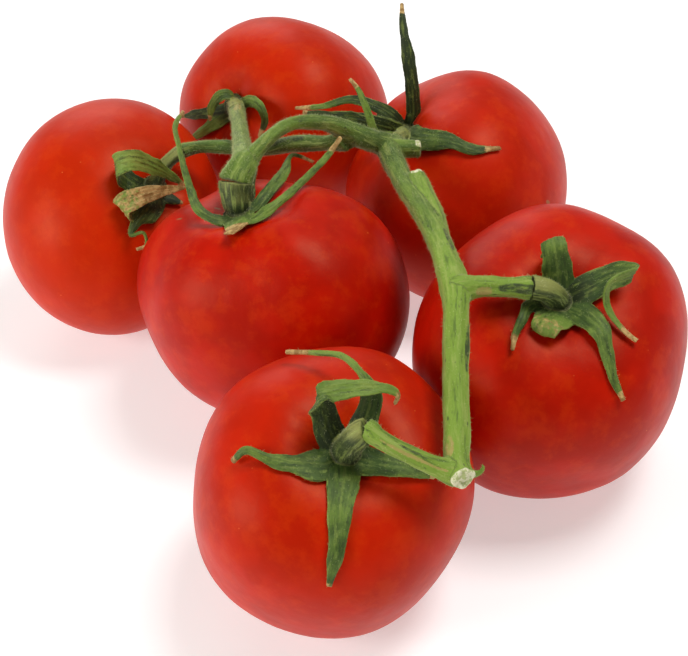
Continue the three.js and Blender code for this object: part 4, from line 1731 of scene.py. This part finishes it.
@dataclass(frozen=True)
class GreenStalk:
    """Soft green rind with long streaks, small dark specks, brown scars and pale torn ends."""

    fresh: Colour = srgb(122, 152, 50)
    dull: Colour = srgb(66, 90, 32)
    light: Colour = srgb(152, 168, 84)
    brown: Colour = srgb(166, 148, 84)
    dark: Colour = srgb(44, 56, 34)
    pale: Colour = srgb(232, 228, 196)
    cloud_range: float = 1.3
    light_share: float = 0.55
    dull_share: float = 0.65
    speck_share: float = 0.7
    scar_share: float = 0.9
    pith_share: float = 0.75
    rough: float = 0.68
    bump: float = 0.16
    mirror: float = 0.35
    sheen: float = 0.4
    sheen_rough: float = 0.35
    sheen_tint: Colour = (0.85, 0.92, 0.6)

    def colour(self, s: Shader, grain: Signal, tone: Signal) -> Signal:
        """The green with its streaks and specks, before scars.

        Args:
            s: The material's shader.
            grain: Place on the stalk, rolled out straight.
            tone: 1 where the stalk is fresh, 0 where it is dull.

        Returns:
            The colour.
        """
        streaks = s.noise(s.drawn_out(grain, 0.14), 1.1, 4, 0.65)
        clouds = s.noise(s.drawn_out(grain, 0.4), 3.6, 4, 0.65)
        freshness = s.eased(tone + (clouds - 0.5) * self.cloud_range, 0, 1)
        colour = s.mix(freshness, self.dull, self.fresh)
        colour = s.mix(s.eased(streaks, 0.51, 0.64) * self.light_share, colour, self.light)
        colour = s.mix(s.eased(streaks, 0.47, 0.33) * self.dull_share, colour, self.dull)
        specks = s.eased(s.dots(s.drawn_out(grain, 0.35), 1.1), 0.26, 0.12)
        specks = specks * s.eased(s.noise(grain, 2.2, 3), 0.47, 0.6)
        return s.mix(specks * self.speck_share, colour, self.dark)

    def material(self, name: str) -> bpy.types.Material:
        """The finish of the truss stem: its green, then brown, dark and pale marks on top.

        Args:
            name: The material's name.

        Returns:
            The material.
        """
        s = Shader(name)
        grain = s.vector(Tag.GRAIN)
        colour = self.colour(s, grain, s.number(Tag.FRESH))
        ragged = s.noise(s.drawn_out(grain, 0.4), 0.9, 4, 0.7)
        pores = s.eased(s.noise(s.place(), 0.8, 3, 0.6), 0.42, 0.6)
        pith = s.mix(pores * self.pith_share, self.pale, self.light)
        paints = ((Tag.BROWN, self.brown, 0.25), (Tag.DARK, self.dark, 0.22), (Tag.PALE, pith, 0.6))
        for tag, paint, solid in paints:
            mask = s.eased(s.number(tag) * (ragged + solid), 0.5, 0.78)
            colour = s.mix(mask * self.scar_share, colour, paint)
        fine = s.noise(s.drawn_out(grain, 0.3), 0.35, 3) * 0.6 + s.noise(grain, 0.9, 2)
        return s.finish(
            Base_Color=colour,
            Roughness=self.rough,
            Normal=s.bump(fine, self.bump),
            Specular_IOR_Level=self.mirror,
            Sheen_Weight=self.sheen,
            Sheen_Roughness=self.sheen_rough,
            Sheen_Tint=self.sheen_tint,
        )


@dataclass(frozen=True)
class GreenCalyx:
    """Sepals with paler veins and rims, darker above than below, tips dried tan, on a fuzzy stalk."""

    above: Colour = srgb(50, 74, 20)
    below: Colour = srgb(108, 136, 48)
    light: Colour = srgb(144, 160, 74)
    # dark is the colour of dark streaks and freckles, and of the painted shade at the stalk's foot and
    # near the calyx's middle.
    dark: Colour = srgb(28, 38, 14)
    tan: Colour = srgb(196, 164, 104)
    brown: Colour = srgb(140, 104, 52)
    # On the calyx's stalk, fresh and dull are mixed by painted light on its upper side and painted shade
    # below, with random clouds.
    stalk: GreenStalk = GreenStalk(fresh=srgb(138, 142, 74), dull=srgb(50, 64, 26))
    cloud_range: float = 1.2
    side_range: float = 0.1
    ragged_range: float = 1.1
    light_share: float = 0.4
    dark_share: float = 0.6
    vein_share: float = 0.25
    rim_share: float = 0.45
    freckle_share: float = 0.35
    # How strongly the painted shade at the stalk's foot darkens the stalk's green.
    foot_shade_share: float = 0.85
    rough: float = 0.6
    bump: float = 0.1
    mirror: float = 0.35
    sheen: float = 0.12
    sheen_rough: float = 0.4
    sheen_tint: Colour = (0.8, 0.9, 0.5)

    def blade(self, s: Shader, grain: Signal) -> Signal:
        """The colour of the sepals, from light green through veins, rims and freckles to dry tips.

        Args:
            s: The material's shader.
            grain: Place on the blade: along it, across it, and side.

        Returns:
            The colour.
        """
        blade = s.vector(Tag.BLADE)
        across, side = s.part(blade, 1), s.part(blade, 2)
        clouds = s.noise(s.drawn_out(grain, 0.6), 2.6, 4, 0.65)
        tone = s.number(Tag.LIGHT) + (clouds - 0.5) * self.cloud_range
        tone = tone - s.eased(side, -0.3, 0.3) * self.side_range
        leaf = s.mix(s.eased(tone, 0.1, 0.8), self.above, self.below)
        leaf = s.mix(s.eased(tone, 0.05, -0.3) * 0.8, leaf, self.dark)
        leaf = s.mix(s.eased(tone, 0.8, 1.2) * 0.7, leaf, self.light)
        streaks = s.noise(s.drawn_out(grain, 0.16), 0.6, 4, 0.65)
        leaf = s.mix(s.eased(streaks, 0.52, 0.68) * self.light_share, leaf, self.light)
        leaf = s.mix(s.eased(streaks, 0.47, 0.33) * self.dark_share, leaf, self.dark)
        veins = s.number(Tag.PALE) * s.eased(clouds, 0.35, 0.65)
        leaf = s.mix(veins * self.vein_share, leaf, self.light)
        rim = s.eased(abs(across), 0.82, 1.0) * s.eased(streaks, 0.4, 0.6)
        leaf = s.mix(rim * self.rim_share, leaf, self.light)
        freckles = s.eased(s.dots(s.drawn_out(grain, 0.7), 1.1), 0.2, 0.1)
        freckles = freckles * s.eased(clouds, 0.5, 0.6)
        leaf = s.mix(freckles * self.freckle_share, leaf, self.dark)
        dried = s.mix(s.eased(s.noise(grain, 1.6, 4, 0.7), 0.42, 0.6), self.tan, self.brown)
        ragged = s.noise(grain, 1.1, 4, 0.7)
        mask = s.eased(s.number(Tag.BROWN) + (ragged - 0.5) * self.ragged_range, 0.35, 0.65)
        return s.mix(mask, leaf, dried)

    def material(self, name: str) -> bpy.types.Material:
        """The finish of a calyx: a stalk's green with painted light above and painted shade at its foot,
        and the sepals' colour over it.

        Args:
            name: The material's name.

        Returns:
            The material.
        """
        s = Shader(name)
        grain = s.vector(Tag.GRAIN)
        leaf = self.blade(s, grain)
        # Off the blades LIGHT is painted light: the stalk's green is fresher where it faces up and
        # duller below.
        stem = self.stalk.colour(s, grain, s.number(Tag.LIGHT) * 1.1 - 0.15)
        # Painted shade at the stalk's foot, with the dark knuckle ring.
        stem = s.mix(s.number(Tag.DARK) * self.foot_shade_share, stem, self.dark)
        colour = s.mix(s.eased(s.number(Tag.FRESH), 0.2, 0.8), stem, leaf)
        fine = s.noise(s.drawn_out(grain, 0.5), 0.3, 3) * 0.6 + s.noise(grain, 0.8, 2)
        return s.finish(
            Base_Color=colour,
            Roughness=self.rough,
            Normal=s.bump(fine, self.bump),
            Specular_IOR_Level=self.mirror,
            Sheen_Weight=self.sheen,
            Sheen_Roughness=self.sheen_rough,
            Sheen_Tint=self.sheen_tint,
        )


@dataclass(frozen=True)
class PaleHair:
    """Nearly colourless hair, a little greener in patches."""

    light: Colour = srgb(200, 206, 150)
    green: Colour = srgb(150, 168, 92)
    rough: float = 0.5

    def material(self, name: str) -> bpy.types.Material:
        """The finish of the hairs.

        Args:
            name: The material's name.

        Returns:
            The material.
        """
        s = Shader(name)
        colour = s.mix(s.eased(s.noise(s.place(), 3, 1), 0.4, 0.6), self.light, self.green)
        return s.finish(Base_Color=colour, Roughness=self.rough)


@dataclass(frozen=True)
class Lamp:
    """A square soft lamp that faces the truss: its way and distance from it, its side and watts."""

    name: str
    way: tuple[float, float, float]
    away: float
    size: float
    power: float

    AIM = np.array([0, 0, 25])

    def build(self) -> None:
        """Makes the lamp and turns it to the truss."""
        data = bpy.data.lights.new(self.name, "AREA")
        data.shape = "SQUARE"
        data.size = self.size * MM
        data.energy = self.power
        lamp = bpy.data.objects.new(self.name, data)
        back = unit(np.array(self.way))
        side = unit(np.cross(UP, back))
        place = (self.AIM + self.away * back) * MM
        rows = np.column_stack([side, np.cross(back, side), back, place])
        lamp.matrix_world = Matrix([*rows.tolist(), [0, 0, 0, 1]])
        bpy.context.scene.collection.objects.link(lamp)


@dataclass
class Studio:
    """Plain pale floor, soft lamps and the camera."""

    aim: tuple[float, float, float] = (6.0, -13.0, 20.0)
    elevation: float = 40.0
    distance: float = 315.0
    roll: float = -2.8
    lens: float = 62.8
    floor_size: float = 6000.0
    floor_height: float = -0.1
    floor: Colour = (0.74, 0.74, 0.74)
    floor_shade: float = 0.99
    floor_glow: float = 0.45
    horizon: Colour = (0.6, 0.56, 0.52)
    overhead: Colour = (0.2, 0.18, 0.15)
    horizon_top: float = 0.05
    overhead_foot: float = 0.45
    lamps: tuple[Lamp, ...] = (
        Lamp("left", (-0.8, -0.42, 0.45), 700, 290, 2.4),
        Lamp("above", (0.36, 0.02, 0.93), 800, 310, 4.05),
        Lamp("back", (-0.2, 0.8, 0.5), 1000, 560, 2.2),
    )

    def build(self) -> None:
        """Makes everything that isn't the truss."""
        self.make_camera()
        self.make_floor()
        self.make_world()
        for lamp in self.lamps:
            lamp.build()

    def make_camera(self) -> None:
        """Camera that looks along +Y and down, with a slight roll."""
        e, r = math.radians(self.elevation), math.radians(self.roll)
        forward = np.array([0, math.cos(e), -math.sin(e)])
        right, up = np.array([1.0, 0, 0]), np.array([0, math.sin(e), math.cos(e)])
        right, up = math.cos(r) * right + math.sin(r) * up, math.cos(r) * up - math.sin(r) * right
        data = bpy.data.cameras.new("camera")
        data.lens = self.lens
        data.sensor_width = 36.0
        data.clip_start, data.clip_end = 0.01, 20.0
        camera = bpy.data.objects.new("camera", data)
        place = (np.array(self.aim) - self.distance * forward) * MM
        rows = np.column_stack([right, up, -forward, place])
        camera.matrix_world = Matrix([*rows.tolist(), [0, 0, 0, 1]])
        bpy.context.scene.collection.objects.link(camera)
        bpy.context.scene.camera = camera

    def make_floor(self) -> None:
        """Large flat pale floor just under the fruit."""
        half = self.floor_size / 2
        signs = ((-1, -1), (1, -1), (1, 1), (-1, 1))
        corners = np.array([[x * half, y * half, self.floor_height] for x, y in signs])
        mesh = Shell(corners, np.array([[0, 1, 2, 3]]), np.empty((0, 3), int)).mesh("floor")
        s = Shader("pale_floor")
        soft = s.eased(s.noise(s.place(), 60, 2), 0.3, 0.7)
        colour = s.mix(soft, self.floor, tuple(self.floor_shade * c for c in self.floor))
        finish = s.finish(
            Base_Color=colour,
            Roughness=0.7,
            Specular_IOR_Level=0.2,
            Emission_Color=(1.0, 1.0, 1.0),
            Emission_Strength=self.floor_glow,
        )
        mesh.materials.append(finish)
        floor = bpy.data.objects.new("floor", mesh)
        bpy.context.scene.collection.objects.link(floor)

    def make_world(self) -> None:
        """Pale surroundings, bright at the horizon and dimmer overhead."""
        world = bpy.data.worlds.new("studio")
        world.use_nodes = True
        tree = world.node_tree
        tree.nodes.clear()
        way = tree.nodes.new("ShaderNodeTexCoord")
        split = tree.nodes.new("ShaderNodeSeparateXYZ")
        ramp = tree.nodes.new("ShaderNodeValToRGB")
        stops = ((self.horizon_top, self.horizon), (self.overhead_foot, self.overhead))
        for element, (position, colour) in zip(ramp.color_ramp.elements, stops):
            element.position = position
            element.color = (*colour, 1)
        light = tree.nodes.new("ShaderNodeBackground")
        light.inputs["Strength"].default_value = 1.0
        end = tree.nodes.new("ShaderNodeOutputWorld")
        tree.links.new(way.outputs["Generated"], split.inputs[0])
        tree.links.new(split.outputs[2], ramp.inputs[0])
        tree.links.new(ramp.outputs[0], light.inputs["Color"])
        tree.links.new(light.outputs[0], end.inputs["Surface"])
        bpy.context.scene.world = world
        bpy.context.scene.view_settings.view_transform = "Standard"


def main() -> None:
    """Builds the studio and the truss, piece by piece."""
    logging.basicConfig(level=logging.INFO, format="%(name)s %(message)s")
    Studio().build()
    fruits = {place: Fruit(shape) for place, shape in FRUIT.items()}
    skin = RipeSkin().material("ripe_skin")
    for place, fruit in fruits.items():
        shell, own = fruit.skin()
        name = place.value
        marks = {Tag.SKIN: own, Tag.FRESH: np.full(len(own), ORANGE[place])}
        add_piece(f"tomato_{name}_skin", shell, skin, marks, f"tomato_{name}")
    hair = PaleHair().material("pale_hair")
    stem_skin = TrussStem(fruits).build(GreenStalk().material("green_stalk"))
    Fuzz(length=0.6).build("truss_stem_fuzz", [stem_skin], 16000, hair, Slot.STALK, 5)
    calyx_finish = GreenCalyx().material("green_calyx")
    calyces = [Calyx(place, fruits).build(calyx_finish) for place in Place]
    Fuzz(length=0.45).build("calyx_fuzz", calyces, 12000, hair, Slot.CALYX, 6)


if __name__ == "__main__":
    main()
